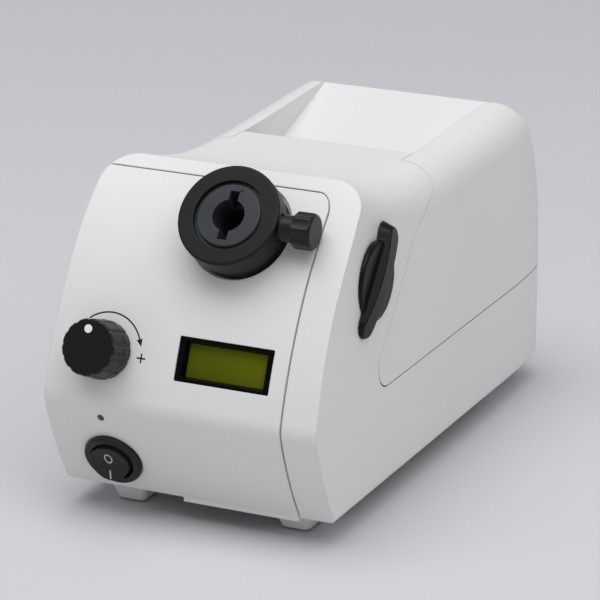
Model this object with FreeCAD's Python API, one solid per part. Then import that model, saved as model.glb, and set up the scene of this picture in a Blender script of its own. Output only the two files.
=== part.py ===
# Fiber optic illuminator: a bench light source that feeds a light guide from a keyed collar.
# All lengths are in millimetres and all angles in degrees. +X is the object's right as seen
# from its front, +Y runs to its back and +Z is up.
import FreeCAD
import Part
import math
import os

from FreeCAD import Placement, Rotation, Vector

# Housing: overall sizes and the two side profiles, each a run of tangent arcs
half_width = 60.0
floor_height = 10.9
seam_height = 52.2
wall = 3.0
front_wall = 5.6
seam_gap = 0.3
seat_gap = 0.3
chine_radius = 2.0
overrun = 12.0
far = 400.0
tiny = 0.001

chin_y = 17.2
chin_heading = -31.5
chin_radius = 172.0
chin_turn = 14.1
nose_radius = 11.5
nose_turn = 33.4
brow_radius = 169.5
brow_turn = 36.0

tail_y = 239.0
tail_heading = -20.4
tail_low_radius = 102.0
tail_low_turn = 21.9
tail_high_radius = 170.0
tail_high_turn = 27.4
tail_corner_radius = 6.0
tail_corner_turn = 46.0

# Cross sections along the length: place, height of the top, corner radius, lean of the sides
nose_section_y = -24.0
nose_section_top = 162.0
cheek_section_y = 20.0
cheek_section_top = 150.0
lip_y = 54.6
lip_top = 140.4
lip_corner = 14.0
lip_lean = 4.6
saddle_y = 80.0
saddle_top = 133.6
saddle_corner = 17.0
saddle_lean = 6.6
neck_y = 110.0
neck_top = 129.6
neck_corner = 18.0
neck_lean = 6.4
grip_y = 139.0
grip_top = 128.2
back_corner = 17.0
back_lean = 5.6
waist_y = 182.0
waist_top = 129.0
rump_y = 226.0
rump_top = 130.2
rump_narrowing = 0.8
tail_section_y = 240.0
tail_section_top = 130.5
tail_narrowing = 3.0
end_section_y = 252.0
end_section_top = 130.8
end_narrowing = 12.0

# Seam between the lower housing and the top cover
seam_knee_y = 46.0
seam_knee_radius = 9.0
seam_rise_y = 100.0
seam_rise_z = 106.4
seam_rise_radius = 60.0
seam_crest_y = 127.0
seam_crest_z = 120.6
seam_crest_radius = 6.0

# Hand recess behind the grip edge
recess_half_width = 39.1
recess_rear_y = 223.1
recess_rear_z = 130.0
recess_slope = 17.7
pocket_depth = 17.0
tongue_clear = 12.0
pocket_radius = 7.0
recess_wall = 2.6
bead_radius = 3.2

# Front panel and its groove
panel_thickness = 3.0
panel_edge_x = 44.2
panel_top_z = 135.6
panel_corner_radius = 6.5
panel_step_x = -7.0
panel_lip = 1.9
groove = 0.8
top_groove = 0.35
ledge = 6.0

# Bosses and base plate
plate_thickness = 1.6
boss_radius = 4.5
boss_height = 14.0
boss_inset = 6.4
boss_front_y = 34.0
boss_middle_y = 142.0
boss_rear_y = 216.0
intake_count = 9
intake_pitch = 8.0
intake_width = 3.2
intake_length = 44.0
intake_y = 128.0
exhaust_count = 11
exhaust_pitch = 7.2
exhaust_width = 3.2
exhaust_low_z = 60.0
exhaust_high_z = 96.0

# Feet
foot_x = 37.0
foot_front_y = 38.0
foot_rear_y = 208.0
foot_top_width = 19.0
foot_top_depth = 26.0
foot_low_width = 12.4
foot_low_depth = 20.0
pad_width = 9.0
pad_depth = 15.0
pad_height = 2.6
pad_sink = 1.6
pad_corner = 2.5

# Screws that hold the base plate and the feet
screw_radius = 1.45
screw_head_radius = 2.9
screw_head_height = 1.8
screw_length = 9.0
screw_gap = 0.2
drive_radius = 1.1
drive_depth = 1.1
hexagon_sides = 6

# Light path: the mouth of the collar on its tilted axis, and depths from there
beam_x = 10.4
beam_y = 23.8
beam_z = 130.4
beam_tilt = 39.3

collar_radius = 21.3
collar_length = 17.6
collar_edge = 1.0
collar_relief_radius = 20.2
collar_front_band = 8.8
collar_neck_radius = 16.0
collar_neck_length = 10.4
collar_bore_radius = 14.7
collar_bore_depth = 22.0
collar_exit_radius = 11.5
panel_boss_radius = 21.8
panel_boss_depth = 22.4
nut_radius = 20.5
nut_height = 4.6
nut_slot_count = 4
nut_slot_width = 4.0
nut_slot_depth = 2.2

insert_radius = 14.6
insert_rim_radius = 13.4
insert_rim_depth = 1.4
insert_recess = 0.5
insert_length = 21.5
guide_radius = 6.75
guide_exit_radius = 5.6
guide_depth = 20.0
key_width = 4.0
key_reach = 10.4
key_depth = 9.0
tick_length = 1.5
tick_width = 0.6
tick_depth = 0.4
tick_reach = 10.9
tick_turn = -14.0
tick_slant = -30.0

# Clamp screw at the collar's right
clamp_depth = 6.2
bush_radius = 5.2
bush_flange = 1.6
bush_edge = 0.5
bush_seat = 2.0
bush_thread_radius = 3.4
neck_radius = 5.4
neck_length = 6.2
neck_edge = 0.6
shoulder_rise = 0.8
head_radius = 7.4
head_length = 7.9
head_edge = 1.7
head_flute_count = 8
head_flute_radius = 9.0
head_flute_bite = 0.55
head_gap = 0.3
stud_radius = 1.96
stud_bore_radius = 2.0
stud_in_head = 6.0
tip_radius = 1.7
tip_length = 4.0
tip_clearance = 0.45
tip_neck_radius = 0.9
tip_neck_length = 1.4
clamp_in_travel = 1.5

# Dimmer on the front panel
dial_x = -35.9
dial_z = 73.1
dial_skirt_radius = 12.0
dial_skirt_height = 4.6
dial_front_radius = 11.5
dial_height = 14.2
dial_edge = 0.9
dial_gap = 0.5
dial_flute_count = 13
dial_flute_radius = 1.6
dial_flute_bite = 0.6
dial_flute_lean = 3.4
dial_hollow_radius = 9.6
dial_wall = 2.2
dial_hub_radius = 5.6
marker_radius = 1.7
marker_reach = 7.3
marker_turn = 7.0
marker_depth = 0.8
marker_proud = 0.15
shaft_radius = 3.0
shaft_length = 17.0
shaft_gap = 0.06
flat_share = 0.55
pot_radius = 8.2
pot_height = 9.0
pot_neck_radius = 4.6
pot_neck_length = 7.0
pot_nut_radius = 6.4
pot_nut_height = 2.0
pot_leg_width = 1.2
pot_leg_length = 6.0
pot_leg_pitch = 5.0

# Rocker switch on the front panel
switch_x = -34.1
switch_z = 26.0
bezel_radius = 12.5
bezel_height = 2.2
bezel_edge = 1.2
switch_barrel_radius = 10.2
switch_depth = 19.0
rocker_radius = 8.9
rocker_gap = 0.45
rocker_thickness = 7.0
rocker_proud = 1.6
rocker_pivot_depth = 4.4
rocker_pin_radius = 1.2
rocker_pin_gap = 0.08
pin_reach = 0.8
rocker_v = 10.0
rocker_swing = 20.0
switch_well_depth = 12.0
tab_width = 4.8
tab_thickness = 0.8
tab_length = 8.0
tab_pitch = 7.0

# Display and status lamp on the front panel
display_x = 16.9
display_z = 74.4
display_width = 41.3
display_height = 18.0
display_corner = 0.6
display_gap = 0.15
frame_depth = 5.6
frame_recess = 0.5
view_width = 34.2
view_height = 13.4
view_slope = 0.9
lcd_thickness = 2.8
lcd_width = 39.0
lcd_height = 16.6
lcd_gap = 0.05
lamp_x = -35.4
lamp_z = 46.0
lamp_radius = 1.45
lamp_flange_radius = 2.1
lamp_length = 5.0
lamp_gap = 0.05

# Control board behind the panel
control_width = 84.0
control_height = 50.0
control_x = -2.0
control_depth = 16.5
board_thickness = 1.6
board_corner = 2.0
control_notch_width = 18.0
control_notch_height = 14.0

# Lenses and barrels
barrel_radius = 19.4
barrel_flange_radius = 20.4
barrel_flange_height = 2.0
front_barrel_start = 29.0
lens_radius = 17.0
lens_edge = 2.4
lens_crown_radius = 26.0
lens_gap = 0.1
stop_radius = 15.4
stop_height = 1.4
front_lens_seat = 30.0
rear_lens_seat = 50.0
rear_barrel_end = 66.4

# Filter slider and its guide
slider_depth = 44.3
slider_drop = 3.2
slider_thickness = 3.0
slider_width = 42.0
slider_inner_x = -12.0
slider_outer_x = 60.4
slider_corner = 4.0
slider_gap = 0.35
guide_wall = 1.6
guide_inner_x = -17.0
guide_outer_x = 52.6
filter_radius = 14.0
filter_thickness = 1.6
filter_lip = 1.2
ring_gap = 0.05
retainer_width = 1.3
retainer_height = 0.8
beam_window_radius = 15.4

handle_disc_radius = 16.5
handle_disc_reach = 60.9
handle_disc_edge = 1.4
handle_bar_length = 45.6
handle_bar_width = 7.8
handle_bar_draft = 20.0
handle_bar_end_reach = 61.8
handle_bar_crown = 2.2
handle_seat_gap = 0.3
handle_edge = 0.8
handle_blend = 1.0
slot_margin = 0.6

# Light engine: emitter, heat sink and fan
led_board_radius = 16.6
led_board_thickness = 1.6
emitter_side = 9.0
emitter_height = 1.0
dome_radius = 3.4
sink_side = 60.0
sink_base = 7.0
sink_fin_count = 13
sink_fin_thickness = 1.5
sink_fin_height = 24.0
sink_corner = 1.2
fan_side = 60.0
fan_depth = 15.0
fan_corner = 4.0
fan_bore_radius = 28.6
fan_blade_radius = 28.0
fan_hub_radius = 12.5
fan_hub_wall = 1.6
fan_hub_height = 11.0
fan_blade_count = 7
fan_blade_thickness = 1.2
fan_blade_height = 9.0
fan_blade_pitch = 36.0
fan_blade_sweep = 34.0
fan_strut_count = 4
fan_strut_width = 3.0
fan_strut_height = 2.2
fan_seat_radius = 11.0
fan_hole_radius = 2.1
fan_hole_pitch = 50.0
fan_pin_radius = 1.5
fan_pin_gap = 0.06
fan_lift = 0.4
fan_sink_gap = 0.3
bracket_thickness = 1.6
bracket_flange = 11.0
bracket_gap = 0.25
bracket_front_y = 74.0
bracket_rear_y = 132.0
bracket_shoulder_z = 34.0
bracket_crest_y = 100.0
bracket_crest_z = 84.0
bracket_radius = 5.0
bracket_window_radius = 9.0
bracket_window_y = 104.0
bracket_window_z = 42.0

# Boards on the base plate
post_radius = 2.6
post_height = 6.0
driver_x = 0.0
driver_y = 44.0
driver_width = 86.0
driver_depth = 30.0
supply_x = 8.0
supply_y = 178.0
supply_core_share = 0.125
supply_width = 84.0
supply_depth = 60.0
post_inset = 4.5
coil_radius = 7.0
coil_hole_radius = 3.0
coil_height = 8.0
can_radius = 4.0
can_height = 11.0
can_pitch = 10.0
can_count = 3
chip_side = 9.0
chip_height = 2.0
transformer_width = 26.0
transformer_depth = 22.0
transformer_height = 19.0
bobbin_width = 17.0
bobbin_depth = 30.0
bobbin_height = 13.0
bulk_radius = 9.0
bulk_height = 26.0
cooler_width = 40.0
cooler_thickness = 2.0
cooler_height = 20.0
terminal_width = 20.0
terminal_depth = 9.0
terminal_height = 10.0

# Mains inlet with its fuse drawer in the rear wall
inlet_x = -26.0
inlet_z = 31.0
inlet_plane_y = 238.0
inlet_flange_width = 50.0
inlet_flange_height = 25.0
inlet_flange_thickness = 2.4
inlet_flange_corner = 2.0
inlet_body_width = 27.8
inlet_body_height = 20.6
inlet_body_depth = 26.0
inlet_body_corner = 4.6
inlet_well_width = 24.4
inlet_well_height = 16.4
inlet_well_depth = 16.5
inlet_well_chamfer = 4.0
inlet_offset_x = 7.0
inlet_gap = 0.3
pad_thickness = 4.0
pad_margin = 2.0
pin_width = 4.0
pin_thickness = 2.0
pin_length = 14.0
pin_pitch = 7.0
pin_drop = 2.0
pin_root = 5.0
fuse_offset_x = -15.2
fuse_face_width = 9.0
fuse_face_height = 20.0
fuse_face_proud = 1.4
fuse_body_width = 7.4
fuse_body_height = 17.6
fuse_body_depth = 21.0
fuse_wall = 1.1
fuse_gap = 0.3
fuse_radius = 2.5
fuse_length = 15.6
fuse_grip_width = 4.6
fuse_grip_height = 5.0
fuse_grip_depth = 0.8

pieces = {}


def inward(heading, side):
    """Unit normal, in Y and Z, that points into the body from a profile with this heading."""
    angle = math.radians(heading)
    return side * math.cos(angle), -math.sin(angle)


def walk(start, heading, steps, inset, side):
    """Points of tangent arcs that climb a side profile, three for each arc."""
    normal = inward(heading, side)
    point = (start[0] + inset * normal[0], start[1] + inset * normal[1])
    arcs = []
    for radius, turn in steps:
        reach = radius - inset
        normal = inward(heading, side)
        centre = (point[0] + reach * normal[0], point[1] + reach * normal[1])
        marks = []
        for share in (0, 0.5, 1):
            out = inward(heading + turn * share, side)
            marks.append((centre[0] - reach * out[0], centre[1] - reach * out[1]))
        arcs.append(marks)
        point = marks[-1]
        heading = heading + turn
    return arcs


front_steps = [
    (chin_radius, chin_turn),
    (nose_radius, nose_turn),
    (brow_radius, brow_turn),
]
tail_steps = [
    (tail_low_radius, tail_low_turn),
    (tail_high_radius, tail_high_turn),
    (tail_corner_radius, tail_corner_turn),
]


def at_side(point):
    """Vector in the middle plane for a pair of Y and Z."""
    return Vector(0, point[0], point[1])


def side_prism(front_inset, rear_inset, drop):
    """Body seen from the side, as wide as the overrun allows, open below by drop."""
    start = (chin_y, floor_height)
    finish = (tail_y, floor_height)
    front = walk(start, chin_heading, front_steps, front_inset, 1)
    rear = walk(finish, tail_heading, tail_steps, rear_inset, -1)
    edges = []
    for arc in front:
        edges.append(Part.Arc(*[at_side(mark) for mark in arc]).toShape())
    edges.append(Part.makeLine(at_side(front[-1][-1]), at_side(rear[-1][-1])))
    for arc in reversed(rear):
        edges.append(Part.Arc(*[at_side(mark) for mark in reversed(arc)]).toShape())
    low_z = floor_height - drop
    marks = [rear[0][0], (rear[0][0][0], low_z), (front[0][0][0], low_z), front[0][0]]
    for first, second in zip(marks[:-1], marks[1:]):
        if at_side(first).distanceToPoint(at_side(second)) > tiny:
            edges.append(Part.makeLine(at_side(first), at_side(second)))
    face = Part.Face(Part.Wire(edges))
    face.translate(Vector(-half_width - overrun, 0, 0))
    return face.extrude(Vector(2 * (half_width + overrun), 0, 0))


def polar(centre, radius, angle, y):
    """Point on a circle in the plane of a cross section."""
    turn = math.radians(angle)
    return Vector(centre[0] + radius * math.cos(turn), y, centre[1] + radius * math.sin(turn))


def mirrored(points):
    """The same points on the other side of the middle plane, in reverse order."""
    return [Vector(-point.x, point.y, point.z) for point in reversed(points)]


def section(station, inset, bottom):
    """Cross section of the body: arched sides that lean in and run into round top corners."""
    y, top, corner, lean, narrowing = station
    half = half_width - narrowing
    tilt = math.radians(lean)
    bend_z = top - corner * (1 - math.sin(tilt))
    side_radius = (bend_z - seam_height) / math.sin(tilt)
    side_centre = (half - side_radius, seam_height)
    reach = side_radius - corner
    corner_centre = (side_centre[0] + reach * math.cos(tilt), seam_height + reach * math.sin(tilt))
    chine = (half - inset - chine_radius, bottom + chine_radius)
    low = [polar(chine, chine_radius, angle, y) for angle in (-90, -45, 0)]
    side = [polar(side_centre, side_radius - inset, angle, y) for angle in (0, lean / 2, lean)]
    crown = [polar(corner_centre, corner - inset, angle, y) for angle in (lean, 45 + lean / 2, 90)]
    edges = [
        Part.makeLine(mirrored(low)[-1], low[0]),
        Part.Arc(*low).toShape(),
        Part.makeLine(low[-1], side[0]),
        Part.Arc(*side).toShape(),
        Part.Arc(*crown).toShape(),
        Part.makeLine(crown[-1], mirrored(crown)[0]),
        Part.Arc(*mirrored(crown)).toShape(),
        Part.Arc(*mirrored(side)).toShape(),
        Part.makeLine(mirrored(side)[-1], mirrored(low)[0]),
        Part.Arc(*mirrored(low)).toShape(),
    ]
    return Part.Wire(edges)


stations = [
    (nose_section_y, nose_section_top, lip_corner, lip_lean, 0),
    (cheek_section_y, cheek_section_top, lip_corner, lip_lean, 0),
    (lip_y, lip_top, lip_corner, lip_lean, 0),
    (saddle_y, saddle_top, saddle_corner, saddle_lean, 0),
    (neck_y, neck_top, neck_corner, neck_lean, 0),
    (grip_y, grip_top, back_corner, back_lean, 0),
    (waist_y, waist_top, back_corner, back_lean, 0),
    (rump_y, rump_top, back_corner, back_lean, rump_narrowing),
    (tail_section_y, tail_section_top, back_corner, back_lean, tail_narrowing),
    (end_section_y, end_section_top, back_corner, back_lean, end_narrowing),
]


def body_loft(inset, bottom):
    """Body lofted through its cross sections, before the front and rear are shaped."""
    return Part.makeLoft([section(station, inset, bottom) for station in stations], True, False)


def rounded_face(corners, place):
    """Flat face through corners given as (u, v, radius), with an arc where radius is not zero."""
    edges = []
    count = len(corners)
    joints = []
    for index, (u, v, radius) in enumerate(corners):
        here = place(u, v)
        before = place(*corners[index - 1][:2])
        after = place(*corners[(index + 1) % count][:2])
        back = (before - here).normalize()
        ahead = (after - here).normalize()
        if radius == 0:
            joints.append((here, None, here))
            continue
        half = back.getAngle(ahead) / 2
        trim = radius / math.tan(half)
        middle = (back + ahead).normalize()
        hub = here + middle * (radius / math.sin(half))
        joints.append((here + back * trim, hub - middle * radius, here + ahead * trim))
    for index, (entry, middle, leave) in enumerate(joints):
        previous = joints[index - 1][2]
        if previous.distanceToPoint(entry) > tiny:
            edges.append(Part.makeLine(previous, entry))
        if middle is not None:
            edges.append(Part.Arc(entry, middle, leave).toShape())
    return Part.Face(Part.Wire(edges))


def prism_x(corners, low, high):
    """Prism along X over an outline in Y and Z."""
    face = rounded_face(corners, lambda u, v: Vector(low, u, v))
    return face.extrude(Vector(high - low, 0, 0))


def prism_y(corners, low, high):
    """Prism along Y over an outline in X and Z."""
    face = rounded_face(corners, lambda u, v: Vector(u, low, v))
    return face.extrude(Vector(0, high - low, 0))


def prism_z(corners, low, high):
    """Prism along Z over an outline in X and Y."""
    face = rounded_face(corners, lambda u, v: Vector(u, v, low))
    return face.extrude(Vector(0, 0, high - low))


def rectangle(x, y, width, depth, radius):
    """Corners of a rectangle with its middle at x, y."""
    left, right = x - width / 2, x + width / 2
    near, back = y - depth / 2, y + depth / 2
    return [(left, near, radius), (right, near, radius), (right, back, radius), (left, back, radius)]


def block(x, y, width, depth, low, high, radius=0):
    """Upright block with rounded corners and its middle at x, y."""
    return prism_z(rectangle(x, y, width, depth, radius), low, high)


def rod(radius, low, high, x=0, y=0):
    """Round bar along Z."""
    return Part.makeCylinder(radius, high - low, Vector(x, y, low))


def cross_rod(radius, low, high, y, z):
    """Round bar along X."""
    return Part.makeCylinder(radius, high - low, Vector(low, y, z), Vector(1, 0, 0))


def tube(outer, inner, low, high):
    """Round tube along Z."""
    return rod(outer, low, high).cut(rod(inner, low, high))


def turned(corners):
    """Solid of revolution about Z from an outline in radius and height."""
    face = rounded_face(corners, lambda u, v: Vector(u, 0, v))
    return face.revolve(Vector(0, 0, 0), Vector(0, 0, 1), 360)


def spun(shape, angle):
    """Copy of a shape turned about Z."""
    copy = shape.copy()
    copy.rotate(Vector(0, 0, 0), Vector(0, 0, 1), angle)
    return copy


def put(shape, place):
    """Copy of a shape carried from a local frame into the body's frame."""
    copy = shape.copy()
    copy.Placement = place.multiply(copy.Placement)
    return copy


def moved(shape, x, y, z):
    """Copy of a shape shifted by x, y and z."""
    copy = shape.copy()
    copy.translate(Vector(x, y, z))
    return copy


def joined(shapes):
    """One solid from shapes that touch or overlap."""
    result = shapes[0].fuse(shapes[1:]) if len(shapes) > 1 else shapes[0]
    return result.removeSplitter()


def ring_of(shape, count):
    """Copies of a shape spread evenly about Z."""
    return [spun(shape, 360 * index / count) for index in range(count)]


def face_place(x, z):
    """Frame on the front face at x and z: its Y climbs the face and its Z points out."""
    for arc, (radius, turn) in zip(front_arcs, front_steps):
        heading = front_headings[front_arcs.index(arc)]
        if z <= arc[-1][1] or arc is front_arcs[-1]:
            low, high = 0, turn
            for _ in range(halving_count):
                middle = (low + high) / 2
                rise = radius * (math.sin(math.radians(heading + middle)) - math.sin(math.radians(heading)))
                if arc[0][1] + rise < z:
                    low = middle
                else:
                    high = middle
            lean = heading + low
            run = radius * (math.cos(math.radians(heading)) - math.cos(math.radians(lean)))
            return Placement(Vector(x, arc[0][0] + run, z), Rotation(Vector(1, 0, 0), 90 - lean))


halving_count = 40
beam_turn = math.radians(beam_tilt)
handle_y = beam_y + slider_depth * math.cos(beam_turn) - slider_drop * math.sin(beam_turn)
handle_z = beam_z - slider_depth * math.sin(beam_turn) - slider_drop * math.cos(beam_turn)
front_arcs = walk((chin_y, floor_height), chin_heading, front_steps, 0, 1)
front_headings = [chin_heading, chin_heading + chin_turn, chin_heading + chin_turn + nose_turn]
beam = Placement(Vector(beam_x, beam_y, beam_z), Rotation(Vector(1, 0, 0), 90 - beam_tilt))
dial = face_place(dial_x, dial_z)
switch = face_place(switch_x, switch_z)
display = face_place(display_x, display_z)
lamp = face_place(lamp_x, lamp_z)
inlet = Placement(Vector(inlet_x, inlet_plane_y, inlet_z), Rotation(Vector(1, 0, 0), -90))


def hexagon(radius, z):
    """Face of a hexagon across Z with its corners at the radius."""
    marks = []
    for side in range(hexagon_sides + 1):
        angle = math.radians(360 * side / hexagon_sides)
        marks.append(Vector(radius * math.cos(angle), radius * math.sin(angle), z))
    return Part.Face(Part.makePolygon(marks))


def screw(head_z):
    """Pan head screw that points up, with its head's underside at head_z and a hexagon drive."""
    head = Part.makeCylinder(screw_head_radius, screw_head_height, Vector(0, 0, 0), Vector(0, 0, -1))
    rim = [edge for edge in head.Edges if edge.BoundBox.ZMax < -screw_head_height / 2]
    head = head.makeFillet(screw_head_height / 2, rim)
    shank = rod(screw_radius, 0, screw_length)
    key = hexagon(drive_radius, -screw_head_height).extrude(Vector(0, 0, drive_depth))
    return moved(head.fuse(shank).cut(key), 0, 0, head_z)


def seam_region(gap, tongue_gap):
    """Space that belongs to the top cover, drawn back from the seam by the gap."""
    knee = (seam_knee_y + gap, seam_height + gap, seam_knee_radius)
    corners = [
        (far, seam_height + gap, 0),
        knee,
        (seam_rise_y + gap, seam_rise_z - gap, seam_rise_radius),
        (seam_crest_y + gap, seam_crest_z, seam_crest_radius),
        (seam_crest_y + gap, far, 0),
        (far, far, 0),
    ]
    region = prism_x(corners, -far, far)
    tongue = block(
        0, grip_y / 2 + tongue_gap / 2, 2 * (recess_half_width + tongue_gap),
        grip_y + tongue_gap, seam_crest_z - tongue_clear, far)
    return region.cut(tongue)


def recess_floor(y, shift):
    """Height of the sloping floor of the hand recess, lowered by shift."""
    slope = math.tan(math.radians(recess_slope))
    return recess_rear_z - (recess_rear_y - y) * slope - shift / math.cos(math.radians(recess_slope))


def recess_prism(grow):
    """Hand recess with its finger pocket, open upwards and to the rear, grown by a wall."""
    front_y = grip_y - pocket_depth - grow
    reach = recess_half_width + grow
    corners = [
        (front_y, recess_floor(front_y, grow), pocket_radius + grow),
        (far, recess_floor(far, grow), 0),
        (far, far, 0),
        (front_y, far, 0),
    ]
    return prism_x(corners, -reach, reach)


def panel_outline(side_gap, top_gap, base_z):
    """Outline of the front panel seen from the front, past the body's left side."""
    right = panel_edge_x + side_gap
    top = panel_top_z + top_gap
    left = -half_width - overrun
    return [
        (left, base_z + panel_lip, 0),
        (panel_step_x, base_z + panel_lip, 0),
        (panel_step_x, base_z, 0),
        (right, base_z, 0),
        (right, top, panel_corner_radius + side_gap),
        (left, top, 0),
    ]


def handle_outline(length, width, radius):
    """Corners of a bar that lies across the beam at the slider, in Y and Z."""
    turn = math.radians(beam_tilt)
    along = (math.sin(turn), math.cos(turn))
    across = (math.cos(turn), -math.sin(turn))
    corners = []
    for first, second in ((-1, -1), (1, -1), (1, 1), (-1, 1)):
        y = handle_y + first * length / 2 * along[0] + second * width / 2 * across[0]
        z = handle_z + first * length / 2 * along[1] + second * width / 2 * across[1]
        corners.append((y, z, radius))
    return corners


def housing_pieces():
    """Moulded shells: lower housing with the front frame, front panel and top cover."""
    outer = body_loft(0, floor_height).common(side_prism(0, 0, 0))
    inner = body_loft(wall, floor_height - overrun).common(side_prism(front_wall, wall, overrun))
    shell = outer.cut(inner)

    lower = shell.cut(seam_region(0, 0))
    bead = cross_rod(bead_radius, -recess_half_width + seam_gap, recess_half_width - seam_gap,
                     grip_y - bead_radius, grip_top - bead_radius)
    lower = lower.fuse(bead)
    recess = prism_y(panel_outline(groove, top_groove, -overrun), -overrun, lip_y + overrun)
    recess = recess.cut(side_prism(panel_thickness, -overrun, overrun))
    lower = lower.cut(recess)
    window = prism_y([
        (-half_width + ledge, floor_height + panel_lip + ledge, ledge),
        (panel_edge_x - ledge, floor_height + panel_lip + ledge, ledge),
        (panel_edge_x - ledge, panel_top_z - ledge - wall, ledge),
        (-half_width + ledge, panel_top_z - ledge - wall, ledge),
    ], -overrun, lip_y - wall)
    collar_way = rod(panel_boss_radius + seat_gap, -panel_boss_depth - nut_height - wall, -collar_length)
    collar_way = put(collar_way.fuse(rod(collar_radius + seat_gap, -collar_length, overrun)), beam)
    switch_way = put(rod(switch_barrel_radius + seat_gap, -switch_depth - wall, 0), switch)
    lower = lower.cut([window, collar_way, switch_way])
    lower = lower.fuse(base_bosses(inner))
    lower = lower.cut(base_pilots())
    slot = prism_x(handle_outline(slider_width + 2 * slot_margin, slider_thickness + 2 * slot_margin,
                                  slot_margin), half_width - overrun, half_width + overrun)
    lower = lower.cut(slot)
    pad = prism_y(rectangle(inlet_x, inlet_z, inlet_flange_width + 2 * pad_margin,
                            inlet_flange_height + 2 * pad_margin, inlet_flange_corner),
                  inlet_plane_y - pad_thickness, tail_y + overrun)
    well = prism_y(rectangle(inlet_x, inlet_z, inlet_flange_width + 2 * inlet_gap,
                             inlet_flange_height + 2 * inlet_gap, inlet_flange_corner),
                   inlet_plane_y, tail_y + 2 * overrun)
    opening = prism_y(rectangle(inlet_x + inlet_offset_x, inlet_z, inlet_body_width + 2 * inlet_gap,
                                inlet_body_height + 2 * inlet_gap, inlet_body_corner),
                      inlet_plane_y - overrun, inlet_plane_y + overrun)
    fuse_opening = prism_y(rectangle(inlet_x + fuse_offset_x, inlet_z,
                                     fuse_body_width + 2 * (fuse_wall + fuse_gap),
                                     fuse_body_height + 2 * (fuse_wall + fuse_gap), fuse_wall),
                           inlet_plane_y - overrun, inlet_plane_y + overrun)
    lower = lower.fuse(pad.common(outer)).cut([well, opening, fuse_opening])
    pieces["lower_housing"] = lower.removeSplitter()

    slab = prism_y(panel_outline(0, 0, floor_height - panel_lip), -overrun, lip_y + overrun)
    slab = slab.cut(side_prism(panel_thickness, -overrun, overrun))
    lip_room = prism_y(panel_outline(0, 0, floor_height - panel_lip), -overrun, lip_y + overrun)
    lip_room = lip_room.cut(block(0, 0, far, far, floor_height, far))
    lip = slab.common(side_prism(0, 0, panel_lip)).common(lip_room)
    slab = slab.common(outer).fuse(lip)
    boss = put(rod(panel_boss_radius, -panel_boss_depth, -collar_length), beam)
    boss = boss.common(side_prism(panel_thickness / 2, -overrun, overrun))
    panel = slab.fuse(boss)
    seat = put(rod(collar_radius + ring_gap, -collar_length, overrun), beam)
    bore = put(rod(collar_neck_radius + ring_gap, -far / 2, overrun), beam)
    shaft_hole = put(rod(pot_neck_radius + ring_gap, -overrun, overrun), dial)
    switch_hole = put(rod(switch_barrel_radius + ring_gap, -overrun, overrun), switch)
    switch_seat = put(rod(bezel_radius + seat_gap, -seat_gap, overrun), switch)
    view = put(block(0, 0, display_width, display_height, -overrun, overrun, display_corner), display)
    lamp_hole = put(rod(lamp_radius + lamp_gap, -overrun, overrun), lamp)
    pot_seat = put(rod(pot_radius + seat_gap, -overrun, -panel_thickness - ring_gap), dial)
    panel = panel.cut([seat, bore, shaft_hole, switch_hole, switch_seat, view, lamp_hole, pot_seat])
    pieces["front_panel"] = panel.removeSplitter()

    tub = recess_prism(recess_wall)
    roof = body_loft(wall + seat_gap, floor_height)
    ahead = block(0, 0, far, 2 * (grip_y + seat_gap), 0, far)
    walls = outer.cut(inner.cut(tub))
    region = seam_region(seam_gap, seam_gap).fuse(tub.common(ahead).common(roof))
    cover = walls.common(region).cut(recess_prism(0))
    slots = []
    for index in range(exhaust_count):
        x = (index - (exhaust_count - 1) / 2) * exhaust_pitch
        slots.append(prism_y([
            (x - exhaust_width / 2, exhaust_low_z, exhaust_width / 2 - ring_gap),
            (x + exhaust_width / 2, exhaust_low_z, exhaust_width / 2 - ring_gap),
            (x + exhaust_width / 2, exhaust_high_z, exhaust_width / 2 - ring_gap),
            (x - exhaust_width / 2, exhaust_high_z, exhaust_width / 2 - ring_gap),
        ], rump_y, tail_y + overrun))
    pieces["top_cover"] = cover.cut(slots).removeSplitter()


def boss_places():
    """Places of the base plate's screw bosses."""
    reach = half_width - wall - boss_inset
    return [(side * reach, y) for side in (-1, 1) for y in (boss_front_y, boss_middle_y, boss_rear_y)]


def base_bosses(inner):
    """Screw bosses with webs to the side walls, trimmed to the inside of the shell."""
    low = floor_height + plate_thickness
    shapes = []
    for x, y in boss_places():
        side = 1 if x > 0 else -1
        shapes.append(rod(boss_radius, low, low + boss_height, x, y))
        shapes.append(block(x + side * boss_inset, y, 2 * boss_inset, wall, low, low + boss_height))
    return joined(shapes).common(inner.fuse(
        Part.makeBox(2 * half_width - wall, far, boss_height * 2,
                     Vector(-half_width + wall / 2, 0, floor_height))))


def base_pilots():
    """Pilot holes in the screw bosses."""
    low = floor_height
    top = low + plate_thickness + screw_length + wall
    holes = [rod(screw_radius + screw_gap / 2, low, top, x, y) for x, y in boss_places()]
    return Part.makeCompound(holes)


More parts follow.
